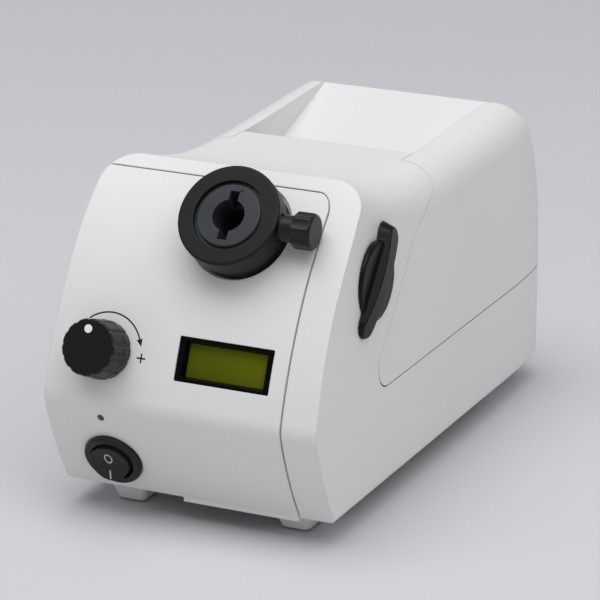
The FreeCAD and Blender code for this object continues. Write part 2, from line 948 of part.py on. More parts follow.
def base_pieces():
    """Steel base plate with intake slots, moulded feet, rubber pads and the screws."""
    fit = wall + seam_gap
    plate = body_loft(fit, floor_height - overrun)
    plate = plate.common(side_prism(front_wall + seam_gap, fit, overrun))
    plate = plate.common(Part.makeBox(far, 2 * far, plate_thickness, Vector(-far / 2, -far, floor_height)))
    cuts = []
    for index in range(intake_count):
        x = (index - (intake_count - 1) / 2) * intake_pitch
        cuts.append(block(x, intake_y, intake_width, intake_length, 0, far,
                          intake_width / 2 - ring_gap))
    for x, y in boss_places():
        cuts.append(rod(screw_radius + screw_gap, 0, far, x, y))
    for x, y in foot_places():
        cuts.append(rod(screw_radius + screw_gap, 0, far, x, y))
    pieces["base_plate"] = plate.cut(cuts)

    feet = []
    pads = []
    screws = []
    for x, y in foot_places():
        top_wire = rounded_face(rectangle(x, y, foot_top_width, foot_top_depth, pad_corner),
                                lambda u, v: Vector(u, v, floor_height)).OuterWire
        low_wire = rounded_face(rectangle(x, y, foot_low_width, foot_low_depth, pad_corner),
                                lambda u, v: Vector(u, v, pad_height - pad_sink)).OuterWire
        foot = Part.makeLoft([low_wire, top_wire], True, True)
        pocket = block(x, y, pad_width, pad_depth, 0, pad_height, pad_corner)
        well = rod(screw_head_radius + screw_gap, 0, floor_height - wall, x, y)
        hole = rod(screw_radius + screw_gap / 2, 0, far, x, y)
        feet.append(foot.cut([pocket, well, hole]))
        pads.append(block(x, y, pad_width - screw_gap, pad_depth - screw_gap, 0, pad_height,
                          pad_corner))
        screws.append(moved(screw(floor_height - wall), x, y, 0))
    pieces["feet"] = Part.makeCompound(feet)
    pieces["foot_pads"] = Part.makeCompound(pads)
    pieces["foot_screws"] = Part.makeCompound(screws)
    pieces["housing_screws"] = Part.makeCompound(
        [moved(screw(floor_height), x, y, 0) for x, y in boss_places()])


def foot_places():
    """Places of the four feet."""
    return [(side * foot_x, y) for side in (-1, 1) for y in (foot_front_y, foot_rear_y)]


def collar_pieces():
    """Light guide collar: body, keyed insert, ring nut and the clamp screw at its right."""
    band = collar_length - collar_front_band
    outline = [
        (collar_exit_radius, -collar_length - collar_neck_length, 0),
        (collar_neck_radius, -collar_length - collar_neck_length, collar_edge / 2),
        (collar_neck_radius, -collar_length, 0),
        (collar_relief_radius, -collar_length, 0),
        (collar_relief_radius, -collar_length + band, 0),
        (collar_radius, -collar_length + band, 0),
        (collar_radius, 0, collar_edge),
        (collar_bore_radius, 0, 0),
        (collar_bore_radius, -collar_bore_depth, 0),
        (collar_exit_radius, -collar_bore_depth, 0),
    ]
    body = turned(outline)
    cross = Placement(Vector(0, 0, -clamp_depth), Rotation(Vector(0, 1, 0), 90))
    flat = collar_relief_radius - bush_seat
    spot = put(rod(bush_radius + seat_gap, flat, collar_radius + overrun), cross)
    threaded = put(rod(bush_thread_radius, 0, collar_radius + overrun), cross)
    pieces["collar"] = put(body.cut([spot, threaded]), beam)

    rim_low = -insert_recess - insert_rim_depth
    insert = turned([
        (0, -insert_recess - insert_length, 0),
        (insert_radius, -insert_recess - insert_length, 0),
        (insert_radius, rim_low, 0),
        (insert_rim_radius, rim_low, 0),
        (insert_rim_radius, -insert_recess, insert_rim_depth / 2),
        (0, -insert_recess, 0),
    ])
    bore = rod(guide_radius, -insert_recess - guide_depth, overrun)
    exit_hole = rod(guide_exit_radius, -far, overrun)
    keys = block(0, 0, key_width, 2 * key_reach, -insert_recess - key_depth, overrun)
    tick = moved(spun(block(0, 0, tick_width, tick_length, -insert_recess - tick_depth, overrun),
                      tick_slant), 0, tick_reach, 0)
    tick = spun(tick, tick_turn)
    stud_way = put(rod(stud_bore_radius, 0, insert_radius + overrun), cross)
    pieces["guide_insert"] = put(insert.cut([bore, exit_hole, keys, tick, stud_way]), beam)

    nut_top = -panel_boss_depth
    nut = tube(nut_radius, collar_neck_radius + ring_gap, nut_top - nut_height, nut_top)
    slots = ring_of(block(nut_radius, 0, 2 * nut_slot_depth, nut_slot_width, -far, 0), nut_slot_count)
    pieces["collar_nut"] = put(nut.cut(slots), beam)

    bush = turned([
        (0, collar_bore_radius + ring_gap, 0),
        (bush_thread_radius - ring_gap, collar_bore_radius + ring_gap, 0),
        (bush_thread_radius - ring_gap, flat, 0),
        (bush_radius, flat, 0),
        (bush_radius, flat + bush_flange, bush_edge),
        (0, flat + bush_flange, 0),
    ]).cut(rod(stud_bore_radius, 0, far))
    pieces["clamp_bush"] = put(put(bush, cross), beam)

    tip_reach = guide_radius + tip_clearance
    head_base = flat + bush_flange + clamp_in_travel + head_gap
    shoulder = head_base + neck_length
    head_end = shoulder + head_length
    head = turned([
        (0, head_base, 0),
        (neck_radius, head_base, neck_edge),
        (neck_radius, shoulder - shoulder_rise, 0),
        (head_radius, shoulder, neck_edge),
        (head_radius, head_end, head_edge),
        (0, head_end, 0),
    ])
    flute = rod(head_flute_radius, shoulder - shoulder_rise, head_end + overrun,
                head_radius + head_flute_radius - head_flute_bite, 0)
    head = head.cut(ring_of(flute, head_flute_count))
    stud_low = tip_reach + tip_length
    stud_high = head_base + stud_in_head
    head = head.cut(rod(stud_radius, head_base - overrun, stud_high))
    pieces["clamp_head"] = put(put(head, cross), beam)
    stud = rod(stud_radius, stud_low, stud_high)
    stud = stud.cut(rod(tip_neck_radius + ring_gap, stud_low - overrun, stud_low + tip_neck_length))
    pieces["clamp_stud"] = put(put(stud, cross), beam)
    tip = turned([
        (0, tip_reach, 0),
        (tip_radius, tip_reach, tip_radius / 2),
        (tip_radius, stud_low - ring_gap, 0),
        (tip_neck_radius, stud_low - ring_gap, 0),
        (tip_neck_radius, stud_low + tip_neck_length - ring_gap, 0),
        (0, stud_low + tip_neck_length - ring_gap, 0),
    ])
    pieces["clamp_tip"] = put(put(tip, cross), beam)


def dial_pieces():
    """Dimmer: fluted knob with its white mark, shaft, rotary control and nut."""
    high = dial_gap + dial_height
    skirt = dial_gap + dial_skirt_height
    knob = turned([
        (0, dial_gap, 0),
        (dial_skirt_radius, dial_gap, 0),
        (dial_skirt_radius, skirt, dial_edge),
        (dial_front_radius + dial_flute_bite / 2, skirt + dial_edge, 0),
        (dial_front_radius, high, dial_edge),
        (0, high, 0),
    ])
    flute_reach = dial_front_radius + dial_flute_radius - dial_flute_bite
    flute = rod(dial_flute_radius, skirt - overrun, high + overrun, flute_reach, 0)
    flute.rotate(Vector(flute_reach, 0, high), Vector(0, 1, 0), -dial_flute_lean)
    knob = knob.cut(ring_of(spun(flute, 180 / dial_flute_count), dial_flute_count))
    hollow = tube(dial_hollow_radius, dial_hub_radius, 0, high - dial_wall)
    neck_high = pot_neck_length - panel_thickness - ring_gap
    nut_room = rod(pot_nut_radius + seat_gap, 0, neck_high + seat_gap)
    shaft_top = shaft_length - wall
    shaft = rod(shaft_radius, -wall - pot_nut_height, shaft_top - wall)
    flat = block(0, shaft_radius * (1 + flat_share), 4 * shaft_radius, 2 * shaft_radius,
                 neck_high + seat_gap, far)
    shaft = shaft.cut(flat)
    sink = spun(rod(marker_radius, high - marker_depth, far, 0, marker_reach), marker_turn)
    pieces["dimmer_knob"] = put(knob.cut([hollow, nut_room, shaft, sink]), dial)
    pieces["dimmer_shaft"] = put(shaft, dial)
    marker = rod(marker_radius, high - marker_depth, high + marker_proud, 0, marker_reach)
    pieces["knob_marker"] = put(spun(marker, marker_turn), dial)
    back = -panel_thickness - ring_gap
    pot = rod(pot_radius, back - pot_height, back)
    pot = pot.fuse(rod(pot_neck_radius, back, back + pot_neck_length))
    pot = pot.cut(rod(shaft_radius + shaft_gap, -wall - pot_nut_height - shaft_gap, far))
    leg_z = back - pot_height / 2
    legs = [block(side * pot_leg_pitch, -pot_radius - pot_leg_length / 2 + wall / 2, pot_leg_width,
                  pot_leg_length, leg_z, leg_z + pot_leg_width / 2) for side in (-1, 0, 1)]
    pieces["dimmer_control"] = put(joined([pot] + legs), dial)
    nut = hexagon(pot_nut_radius, ring_gap).extrude(Vector(0, 0, pot_nut_height))
    nut = nut.cut(rod(pot_neck_radius + shaft_gap, 0, far))
    pieces["dimmer_nut"] = put(nut, dial)


def switch_pieces():
    """Round rocker switch: bezel with its barrel and tabs, and the rocker on its pivot."""
    body = turned([
        (0, -switch_depth, 0),
        (switch_barrel_radius, -switch_depth, 0),
        (switch_barrel_radius, -seat_gap, 0),
        (bezel_radius, -seat_gap, 0),
        (bezel_radius, bezel_height, bezel_edge),
        (0, bezel_height, 0),
    ])
    well = rod(rocker_radius + rocker_gap, -switch_well_depth, overrun)
    pin_z = bezel_height - rocker_pivot_depth
    pin_end = rocker_radius + pin_reach + seat_gap / 2
    pin_way = put(rod(rocker_pin_radius + rocker_pin_gap, -pin_end, pin_end),
                  Placement(Vector(0, 0, pin_z), Rotation(Vector(0, 1, 0), 90)))
    tabs = [block(0, side * tab_pitch / 2, tab_width, tab_thickness,
                  -switch_depth - tab_length, -switch_depth) for side in (-1, 1)]
    pieces["switch_body"] = put(joined([body.cut([well, pin_way])] + tabs), switch)

    reach = rocker_radius
    low = pin_z - rocker_thickness / 2
    rise = reach * math.tan(math.radians(rocker_v))
    top = bezel_height + rocker_proud
    wedge = prism_x([
        (-reach, low + rise, rocker_pin_radius),
        (0, low, 0),
        (reach, low + rise, rocker_pin_radius),
        (reach, top + rise, rocker_pin_radius / 2),
        (0, top, 2 * reach),
        (-reach, top + rise, rocker_pin_radius / 2),
    ], -reach, reach)
    rocker = wedge.common(rod(rocker_radius, -far, far))
    for lean in (-rocker_swing / 2, rocker_swing / 2):
        sleeve = rod(rocker_radius, -far, far)
        sleeve.rotate(Vector(0, 0, pin_z), Vector(1, 0, 0), lean)
        rocker = rocker.common(sleeve)
    pin = put(rod(rocker_pin_radius, -rocker_radius - pin_reach, rocker_radius + pin_reach),
              Placement(Vector(0, 0, pin_z), Rotation(Vector(0, 1, 0), 90)))
    rocker = rocker.fuse(pin)
    rocker.rotate(Vector(0, 0, pin_z), Vector(1, 0, 0), -rocker_swing / 2)
    pieces["switch_rocker"] = put(rocker, switch)


def display_pieces():
    """Display frame with its screen, the status lamp and the control board behind them."""
    top = -frame_recess
    low = top - frame_depth
    frame = block(0, 0, display_width - 2 * display_gap, display_height - 2 * display_gap, low, top,
                  display_corner)
    opening = Part.makeLoft([
        rounded_face(rectangle(0, 0, view_width, view_height, display_corner),
                     lambda u, v: Vector(u, v, low - wall)).OuterWire,
        rounded_face(rectangle(0, 0, view_width, view_height, display_corner),
                     lambda u, v: Vector(u, v, low + wall)).OuterWire,
        rounded_face(rectangle(0, 0, view_width + 2 * view_slope, view_height + 2 * view_slope,
                               display_corner), lambda u, v: Vector(u, v, top + ring_gap)).OuterWire,
    ], True, True)
    pocket = block(0, 0, lcd_width + 2 * lcd_gap, lcd_height - 2 * display_gap, low - wall,
                   low + lcd_thickness)
    pieces["display_frame"] = put(frame.cut([opening, pocket]), display)
    screen = block(0, 0, lcd_width, lcd_height - 2 * display_gap - 2 * lcd_gap, low,
                   low + lcd_thickness - lcd_gap)
    pieces["lcd_screen"] = put(screen, display)
    stem = rod(lamp_radius, -lamp_length, -ring_gap)
    flange = rod(lamp_flange_radius, -lamp_length, -panel_thickness - lamp_gap)
    pieces["status_lamp"] = put(stem.fuse(flange), lamp)

    shift = control_x - display_x
    plate = block(shift, 0, control_width, control_height, -control_depth - board_thickness,
                  -control_depth, board_corner)
    notch = block(shift - control_width / 2, control_height / 2, 2 * control_notch_width,
                  2 * control_notch_height, -far, far)
    spacer = block(0, 0, lcd_width, lcd_height - 2 * display_gap - 2 * lcd_gap,
                   -control_depth, low, 0)
    pieces["control_board"] = put(plate.cut(notch).fuse(spacer), display)


def lens(seat, sense):
    """Plano-convex lens with its flat side at the seat and its crown along the beam by sense."""
    rise = lens_crown_radius - math.sqrt(lens_crown_radius ** 2 - lens_radius ** 2)
    top = seat + sense * (lens_edge + rise)
    centre = top - sense * lens_crown_radius
    disc = rod(lens_radius, min(seat, top), max(seat, top))
    ball = Part.makeSphere(lens_crown_radius, Vector(0, 0, centre))
    return disc.common(ball)


def barrel(start, finish, seat, flange_at_start):
    """Lens barrel from depth start to finish, with a stop behind the lens seat and a flange."""
    bore = lens_radius + lens_gap
    body = tube(barrel_radius, bore, -finish, -start)
    stop = tube(bore + ring_gap, stop_radius, -seat - stop_height, -seat)
    edge = -start if flange_at_start else -finish + barrel_flange_height
    flange = tube(barrel_flange_radius, bore, edge - barrel_flange_height, edge)
    return joined([body, stop, flange])


def optics_pieces():
    """Lens barrels, lenses, the filter guide with its slider, and the light engine."""
    guide_front = slider_depth - slider_thickness / 2 - slider_gap - guide_wall
    guide_back = slider_depth + slider_thickness / 2 + slider_gap + guide_wall
    rise = lens_crown_radius - math.sqrt(lens_crown_radius ** 2 - lens_radius ** 2)
    first_seat = -front_lens_seat - lens_edge - rise
    pieces["front_barrel"] = put(barrel(front_barrel_start, guide_front, -first_seat, False), beam)
    pieces["front_lens"] = put(lens(first_seat, 1), beam)
    pieces["rear_barrel"] = put(barrel(guide_back, rear_barrel_end, rear_lens_seat, True)
                                .cut(rod(stop_radius, -far, far)), beam)
    flipped = rear_lens_seat - guide_back
    pieces["rear_lens"] = put(lens(-rear_lens_seat, 1)
                              .common(rod(lens_radius, -rear_lens_seat, -rear_lens_seat + flipped)),
                              beam)

    x_low = guide_inner_x - beam_x
    x_high = guide_outer_x - beam_x
    middle = -slider_drop
    half = slider_width / 2 + slider_gap
    guide = block((x_low + x_high) / 2, middle, x_high - x_low, 2 * (half + guide_wall),
                  -guide_back, -guide_front, guide_wall)
    way = block((x_low + x_high) / 2 + guide_wall * 2, middle, x_high - x_low, 2 * half,
                -slider_depth - slider_thickness / 2 - slider_gap,
                -slider_depth + slider_thickness / 2 + slider_gap)
    pieces["filter_guide"] = put(guide.cut([way, rod(beam_window_radius, -far, far)]), beam)

    left = slider_inner_x - beam_x
    right = slider_outer_x - beam_x
    plate = block((left + right) / 2, middle, right - left, slider_width,
                  -slider_depth - slider_thickness / 2, -slider_depth + slider_thickness / 2,
                  slider_corner)
    pocket = rod(filter_radius + ring_gap, -slider_depth - slider_thickness / 2 + filter_lip,
                 -slider_depth + far)
    aperture = rod(filter_radius - filter_lip, -far, far)
    plate = put(plate.cut([pocket, aperture]), beam)
    low = -slider_depth - slider_thickness / 2 + filter_lip
    pieces["filter_glass"] = put(rod(filter_radius, low, low + filter_thickness - retainer_height), beam)
    pieces["filter_ring"] = put(tube(filter_radius, filter_radius - retainer_width,
                                     low + filter_thickness - retainer_height,
                                     low + filter_thickness), beam)
    pieces["filter_slider"] = plate

    led_top = -rear_barrel_end
    board_low = led_top - led_board_thickness
    pieces["led_board"] = put(rod(led_board_radius, board_low, led_top - ring_gap), beam)
    emitter = block(0, 0, emitter_side, emitter_side, led_top - ring_gap, led_top + emitter_height)
    dome = Part.makeSphere(dome_radius, Vector(0, 0, led_top + emitter_height))
    dome = dome.common(rod(dome_radius + wall, led_top + emitter_height / 2, far))
    pieces["led_emitter"] = put(emitter.fuse(dome), beam)
    sink_pieces(board_low)


def sink_pieces(sink_top):
    """Heat sink with fins as one extrusion, the fan behind it and the brackets at its sides."""
    half = sink_side / 2
    pitch = (sink_side - sink_fin_thickness) / (sink_fin_count - 1)
    base = sink_top - sink_base
    tip = base - sink_fin_height
    corners = [(-half, sink_top, sink_corner)]
    for index in range(sink_fin_count):
        left = -half + index * pitch
        right = left + sink_fin_thickness
        if index > 0:
            corners.append((left, base, 0))
        corners.append((left, tip, 0))
        corners.append((right, tip, 0))
        if index < sink_fin_count - 1:
            corners.append((right, base, 0))
    corners.append((half, sink_top, sink_corner))
    comb = rounded_face(corners, lambda u, v: Vector(u, -half, v)).extrude(Vector(0, sink_side, 0))
    pieces["heat_sink"] = put(comb, beam)

    fan_top = tip - fan_sink_gap
    fan_low = fan_top - fan_depth
    frame = block(0, 0, fan_side, fan_side, fan_low, fan_top, fan_corner)
    frame = frame.cut(rod(fan_bore_radius, -far, far))
    struts = [rod(fan_seat_radius, fan_low, fan_low + fan_strut_height)]
    for index in range(fan_strut_count):
        arm = block(fan_bore_radius / 2, 0, fan_bore_radius + wall, fan_strut_width, fan_low,
                    fan_low + fan_strut_height)
        struts.append(spun(arm, 45 + 360 * index / fan_strut_count))
    pin = rod(fan_pin_radius, fan_low, fan_low + fan_hub_height - fan_hub_wall)
    holes = [rod(fan_hole_radius, -far, far, side * fan_hole_pitch / 2, end * fan_hole_pitch / 2)
             for side in (-1, 1) for end in (-1, 1)]
    pieces["fan_frame"] = put(joined([frame] + struts + [pin]).cut(holes), beam)

    hub_low = fan_low + fan_strut_height + fan_lift
    hub_high = fan_low + fan_hub_height + fan_lift
    hub = turned([
        (fan_pin_radius + fan_pin_gap, hub_low, 0),
        (fan_hub_radius, hub_low, 0),
        (fan_hub_radius, hub_high, fan_hub_wall),
        (0, hub_high, 0),
        (0, fan_low + fan_hub_height - fan_hub_wall + fan_lift, 0),
        (fan_pin_radius + fan_pin_gap, fan_low + fan_hub_height - fan_hub_wall + fan_lift, 0),
    ])
    blade_mid = (hub_low + hub_high) / 2
    root = blade_section(fan_hub_radius - fan_hub_wall, 0, blade_mid)
    end = blade_section(fan_blade_radius + wall, fan_blade_sweep, blade_mid)
    middle = blade_section((fan_hub_radius + fan_blade_radius) / 2, fan_blade_sweep / 3, blade_mid)
    blade = Part.makeLoft([root, middle, end], True, False)
    blades = [part.common(rod(fan_blade_radius, hub_low, hub_high))
              for part in ring_of(blade, fan_blade_count)]
    pieces["fan_rotor"] = put(joined([hub] + blades), beam)

    reach = sink_side / 2 + bracket_gap
    low = floor_height + plate_thickness
    cheek = [
        (bracket_front_y, low, 0),
        (bracket_rear_y, low, 0),
        (bracket_rear_y, bracket_shoulder_z, bracket_radius),
        (bracket_crest_y, bracket_crest_z, bracket_radius),
        (bracket_front_y, bracket_shoulder_z, bracket_radius),
    ]
    brackets = []
    for side in (-1, 1):
        inner = beam_x + side * reach
        outer = inner + side * bracket_thickness
        plate = prism_x(cheek, min(inner, outer), max(inner, outer))
        window = cross_rod(bracket_window_radius, -far, far, bracket_window_y, bracket_window_z)
        foot = block(inner + side * bracket_flange / 2, (bracket_front_y + bracket_rear_y) / 2,
                     bracket_flange, bracket_rear_y - bracket_front_y, low, low + bracket_thickness)
        brackets.append(joined([plate.cut(window), foot]))
    pieces["engine_brackets"] = Part.makeCompound(brackets)


def blade_section(radius, sweep, height):
    """Thin slanted strip, the section of a fan blade at a radius."""
    chord = fan_blade_height / math.sin(math.radians(fan_blade_pitch))
    turn = math.radians(fan_blade_pitch)
    spin = math.radians(sweep)
    marks = []
    for along, across in ((-1, -1), (1, -1), (1, 1), (-1, 1)):
        run = along * chord / 2 * math.cos(turn) - across * fan_blade_thickness / 2 * math.sin(turn)
        rise = along * chord / 2 * math.sin(turn) + across * fan_blade_thickness / 2 * math.cos(turn)
        marks.append(Vector(radius * math.cos(spin) - run * math.sin(spin),
                            radius * math.sin(spin) + run * math.cos(spin), height + rise))
    return Part.makePolygon(marks + marks[:1])


def bar_face(reach, crest):
    """Outline of the grip's bar at a reach, wider by its draft the further it lies below the crest."""
    spread = 2 * (crest - reach) * math.tan(math.radians(handle_bar_draft))
    width = handle_bar_width + spread
    corners = handle_outline(handle_bar_length + spread, width, width / 2 - seam_gap)
    return rounded_face(corners, lambda u, v: Vector(reach, u, v))


def handle_pieces():
    """Grip of the filter slider: a round plate with a drafted bar across it that bows outwards."""
    low = half_width - overrun
    disc = Part.makeCylinder(handle_disc_radius, handle_disc_reach - low,
                             Vector(low, handle_y, handle_z), Vector(1, 0, 0))
    rim = [edge for edge in disc.Edges if edge.BoundBox.XMin > handle_disc_reach - handle_disc_edge]
    disc = disc.makeFillet(handle_disc_edge, rim)
    crest = handle_bar_end_reach + handle_bar_crown
    bar = Part.makeLoft([bar_face(low, crest).OuterWire, bar_face(crest, crest).OuterWire], True, True)
    bow = (handle_bar_length ** 2 / 4 + handle_bar_crown ** 2) / (2 * handle_bar_crown)
    across = Vector(0, math.cos(beam_turn), -math.sin(beam_turn))
    hub = Vector(crest - bow, handle_y, handle_z)
    drum = Part.makeCylinder(bow, 2 * half_width, hub - across * half_width, across)
    bar = bar.common(drum)
    ridge = [edge for edge in bar.Edges if edge.BoundBox.XMin > handle_bar_end_reach - handle_bar_crown]
    bar = bar.makeFillet(handle_edge, ridge)
    way = body_loft(-handle_seat_gap, floor_height)
    grip = disc.fuse(bar).removeSplitter()
    centre = Vector(handle_disc_reach, handle_y, handle_z)
    roots = [edge for edge in grip.Edges if edge.BoundBox.XLength < tiny
             and edge.CenterOfMass.distanceToPoint(centre) < handle_bar_width]
    grip = grip.makeFillet(handle_blend, roots)
    pieces["filter_handle"] = grip.cut(way).cut(pieces["filter_slider"])


def board(x, y, width, depth):
    """Circuit board on four posts above the base plate, with the post places."""
    low = floor_height + plate_thickness + post_height
    plate = block(x, y, width, depth, low, low + board_thickness, board_corner)
    places = [(x + side * (width / 2 - post_inset), y + end * (depth / 2 - post_inset))
              for side in (-1, 1) for end in (-1, 1)]
    return plate, places, low + board_thickness


def board_pieces():
    """Lamp driver board and power supply, each with its parts, and the posts below them."""
    plate, places, top = board(driver_x, driver_y, driver_width, driver_depth)
    coil = tube(coil_radius, coil_hole_radius, top, top + coil_height)
    shapes = [plate, moved(coil, driver_x - driver_width / 4, driver_y, 0)]
    for index in range(can_count):
        shapes.append(rod(can_radius, top, top + can_height,
                          driver_x + (index - (can_count - 1) / 2) * can_pitch + can_pitch, driver_y))
    shapes.append(block(driver_x + driver_width / 2 - 2 * chip_side, driver_y, chip_side, chip_side, top,
                        top + chip_height))
    pieces["driver_board"] = joined(shapes)

    plate, more, top = board(supply_x, supply_y, supply_width, supply_depth)
    centre_x = supply_x - supply_width * supply_core_share
    shapes = [
        plate,
        block(centre_x, supply_y, transformer_width, transformer_depth, top, top + transformer_height),
        block(centre_x, supply_y, bobbin_width, bobbin_depth, top, top + bobbin_height, board_corner),
        rod(bulk_radius, top, top + bulk_height, supply_x + supply_width / 4, supply_y - bulk_radius / 2),
        block(supply_x + supply_width / 2 - cooler_thickness * 2, supply_y, cooler_thickness,
              cooler_width, top, top + cooler_height),
        block(supply_x - supply_width / 2 + terminal_width, supply_y - supply_depth / 2 + terminal_depth,
              terminal_width, terminal_depth, top, top + terminal_height),
    ]
    pieces["power_supply"] = joined(shapes)
    low = floor_height + plate_thickness
    pieces["board_posts"] = Part.makeCompound(
        [rod(post_radius, low, low + post_height, x, y) for x, y in places + more])


def inlet_pieces():
    """Mains inlet with its three pins, and the fuse drawer that slides out beside them."""
    thick = inlet_flange_thickness
    body = block(inlet_offset_x, 0, inlet_body_width, inlet_body_height, -inlet_body_depth, thick,
                 inlet_body_corner)
    flange = block(0, 0, inlet_flange_width, inlet_flange_height, 0, thick, inlet_flange_corner)
    carrier = block(fuse_offset_x, 0, fuse_body_width + 2 * fuse_wall, fuse_body_height + 2 * fuse_wall,
                    -fuse_body_depth - fuse_wall, thick, fuse_wall)
    half = inlet_well_width / 2
    rise = inlet_well_height / 2
    socket = prism_z([
        (inlet_offset_x - half, -rise, pin_thickness),
        (inlet_offset_x + half, -rise, pin_thickness),
        (inlet_offset_x + half, rise - inlet_well_chamfer, pin_thickness),
        (inlet_offset_x + half - inlet_well_chamfer, rise, pin_thickness),
        (inlet_offset_x - half + inlet_well_chamfer, rise, pin_thickness),
        (inlet_offset_x - half, rise - inlet_well_chamfer, pin_thickness),
    ], -inlet_well_depth, overrun)
    drawer_way = block(fuse_offset_x, 0, fuse_body_width, fuse_body_height, -fuse_body_depth,
                       overrun)
    pins = []
    for place, drop in ((-1, -pin_drop), (0, pin_drop), (1, -pin_drop)):
        pins.append(block(inlet_offset_x + place * pin_pitch, drop, pin_thickness, pin_width,
                          -inlet_well_depth - pin_root, -inlet_well_depth + pin_length,
                          pin_thickness / 2 - ring_gap))
    whole = joined([body, flange, carrier]).cut([socket, drawer_way] + pins)
    pieces["inlet_socket"] = put(whole, inlet)
    pieces["inlet_pins"] = put(Part.makeCompound(pins), inlet)

    face = block(fuse_offset_x, 0, fuse_face_width, fuse_face_height, thick + ring_gap,
                 thick + fuse_face_proud, fuse_wall)
    grip = block(fuse_offset_x, fuse_face_height / 2, fuse_grip_width, fuse_grip_height,
                 thick + fuse_face_proud - fuse_grip_depth, far)
    drawer = block(fuse_offset_x, 0, fuse_body_width - 2 * fuse_gap, fuse_body_height - 2 * fuse_gap,
                   -fuse_body_depth + fuse_gap, thick + 2 * ring_gap)
    bay = block(fuse_offset_x, 0, 2 * (fuse_radius + ring_gap), fuse_length + 2 * ring_gap,
                -fuse_body_depth + 2 * fuse_gap + fuse_wall, -fuse_wall)
    side_door = block(fuse_offset_x + fuse_body_width / 2, 0, fuse_body_width, fuse_length,
                      -fuse_body_depth + 2 * fuse_gap + fuse_wall, -fuse_wall)
    drawer = joined([face, drawer]).cut([bay, side_door, grip])
    pieces["fuse_drawer"] = put(drawer, inlet)
    link = Part.makeCylinder(fuse_radius, fuse_length,
                             Vector(fuse_offset_x, -fuse_length / 2,
                                    -fuse_body_depth / 2), Vector(0, 1, 0))
    pieces["fuse"] = put(link, inlet)


def whole_box():
    """Box around every piece, measured tightly."""
    return Part.makeCompound(list(pieces.values())).optimalBoundingBox(False, False)


def export():
    """Centre the object over its feet and write one file for each piece."""
    box = whole_box()
    shift = Vector(-(box.XMin + box.XMax) / 2, -(box.YMin + box.YMax) / 2, -box.ZMin)
    os.makedirs("parts", exist_ok=True)
    for name, shape in pieces.items():
        shape.translate(shift)
        shape.exportStep("parts/" + name + ".step")
        print(name, len(shape.Solids), round(shape.Volume), shape.isValid())
    print("shift", round(shift.x, 4), round(shift.y, 4), round(shift.z, 4))
    print("size", round(box.XLength, 3), round(box.YLength, 3), round(box.ZLength, 3))


housing_pieces()
base_pieces()
collar_pieces()
dial_pieces()
switch_pieces()
display_pieces()
optics_pieces()
handle_pieces()
board_pieces()
inlet_pieces()
export()
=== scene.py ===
"""Fiber optic illuminator: finishes, printed marks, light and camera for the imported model."""
import logging
import math
from dataclasses import dataclass
from enum import Enum
from typing import Iterable, Protocol, Sequence, Union

import bpy
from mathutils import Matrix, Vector
from mathutils.bvhtree import BVHTree


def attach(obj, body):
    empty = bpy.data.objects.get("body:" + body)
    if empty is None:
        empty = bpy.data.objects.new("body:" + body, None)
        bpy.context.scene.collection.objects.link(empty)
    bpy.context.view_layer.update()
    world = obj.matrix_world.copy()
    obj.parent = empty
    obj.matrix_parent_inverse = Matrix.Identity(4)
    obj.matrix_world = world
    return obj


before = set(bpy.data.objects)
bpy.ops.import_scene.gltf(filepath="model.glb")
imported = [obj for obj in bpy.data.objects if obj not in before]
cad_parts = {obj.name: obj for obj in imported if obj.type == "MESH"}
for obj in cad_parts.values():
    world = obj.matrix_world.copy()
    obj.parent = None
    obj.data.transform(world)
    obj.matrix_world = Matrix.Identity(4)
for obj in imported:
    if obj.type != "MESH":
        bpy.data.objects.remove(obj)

logger = logging.getLogger("illuminator")

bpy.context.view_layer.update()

# The light guide's axis: the middle of the collar's mouth and the way it points
BEAM_MOUTH = Vector((0.00843, -0.092842, 0.1304))
BEAM_WAY = Vector((0.0, -0.7738402, 0.6333809))

# Directions of the model, and the way that the heat sink's fins are drawn
RIGHT = Vector((1.0, 0.0, 0.0))
BACK = Vector((0.0, 1.0, 0.0))
UP = Vector((0.0, 0.0, 1.0))
FIN_WAY = Vector((0.0, 0.6333809, 0.7738402))

# Refraction of plastic, lacquer, rubber, ink and glass, and of an anodised skin
IOR_PLAIN = 1.5
IOR_ANODISED = 1.6

# Noise is about a half in the middle, and a broad tone runs between two of its levels
HALF = 0.5
TONE_LEVELS = (0.3, 0.7)

Number = Union[float, "Value"]
Colour = tuple[float, float, float]
Point = tuple[float, float]


class Side(Enum):
    """Which faces of a turned piece carry tool marks."""

    RINGS = "rings"
    PLAIN = "plain"


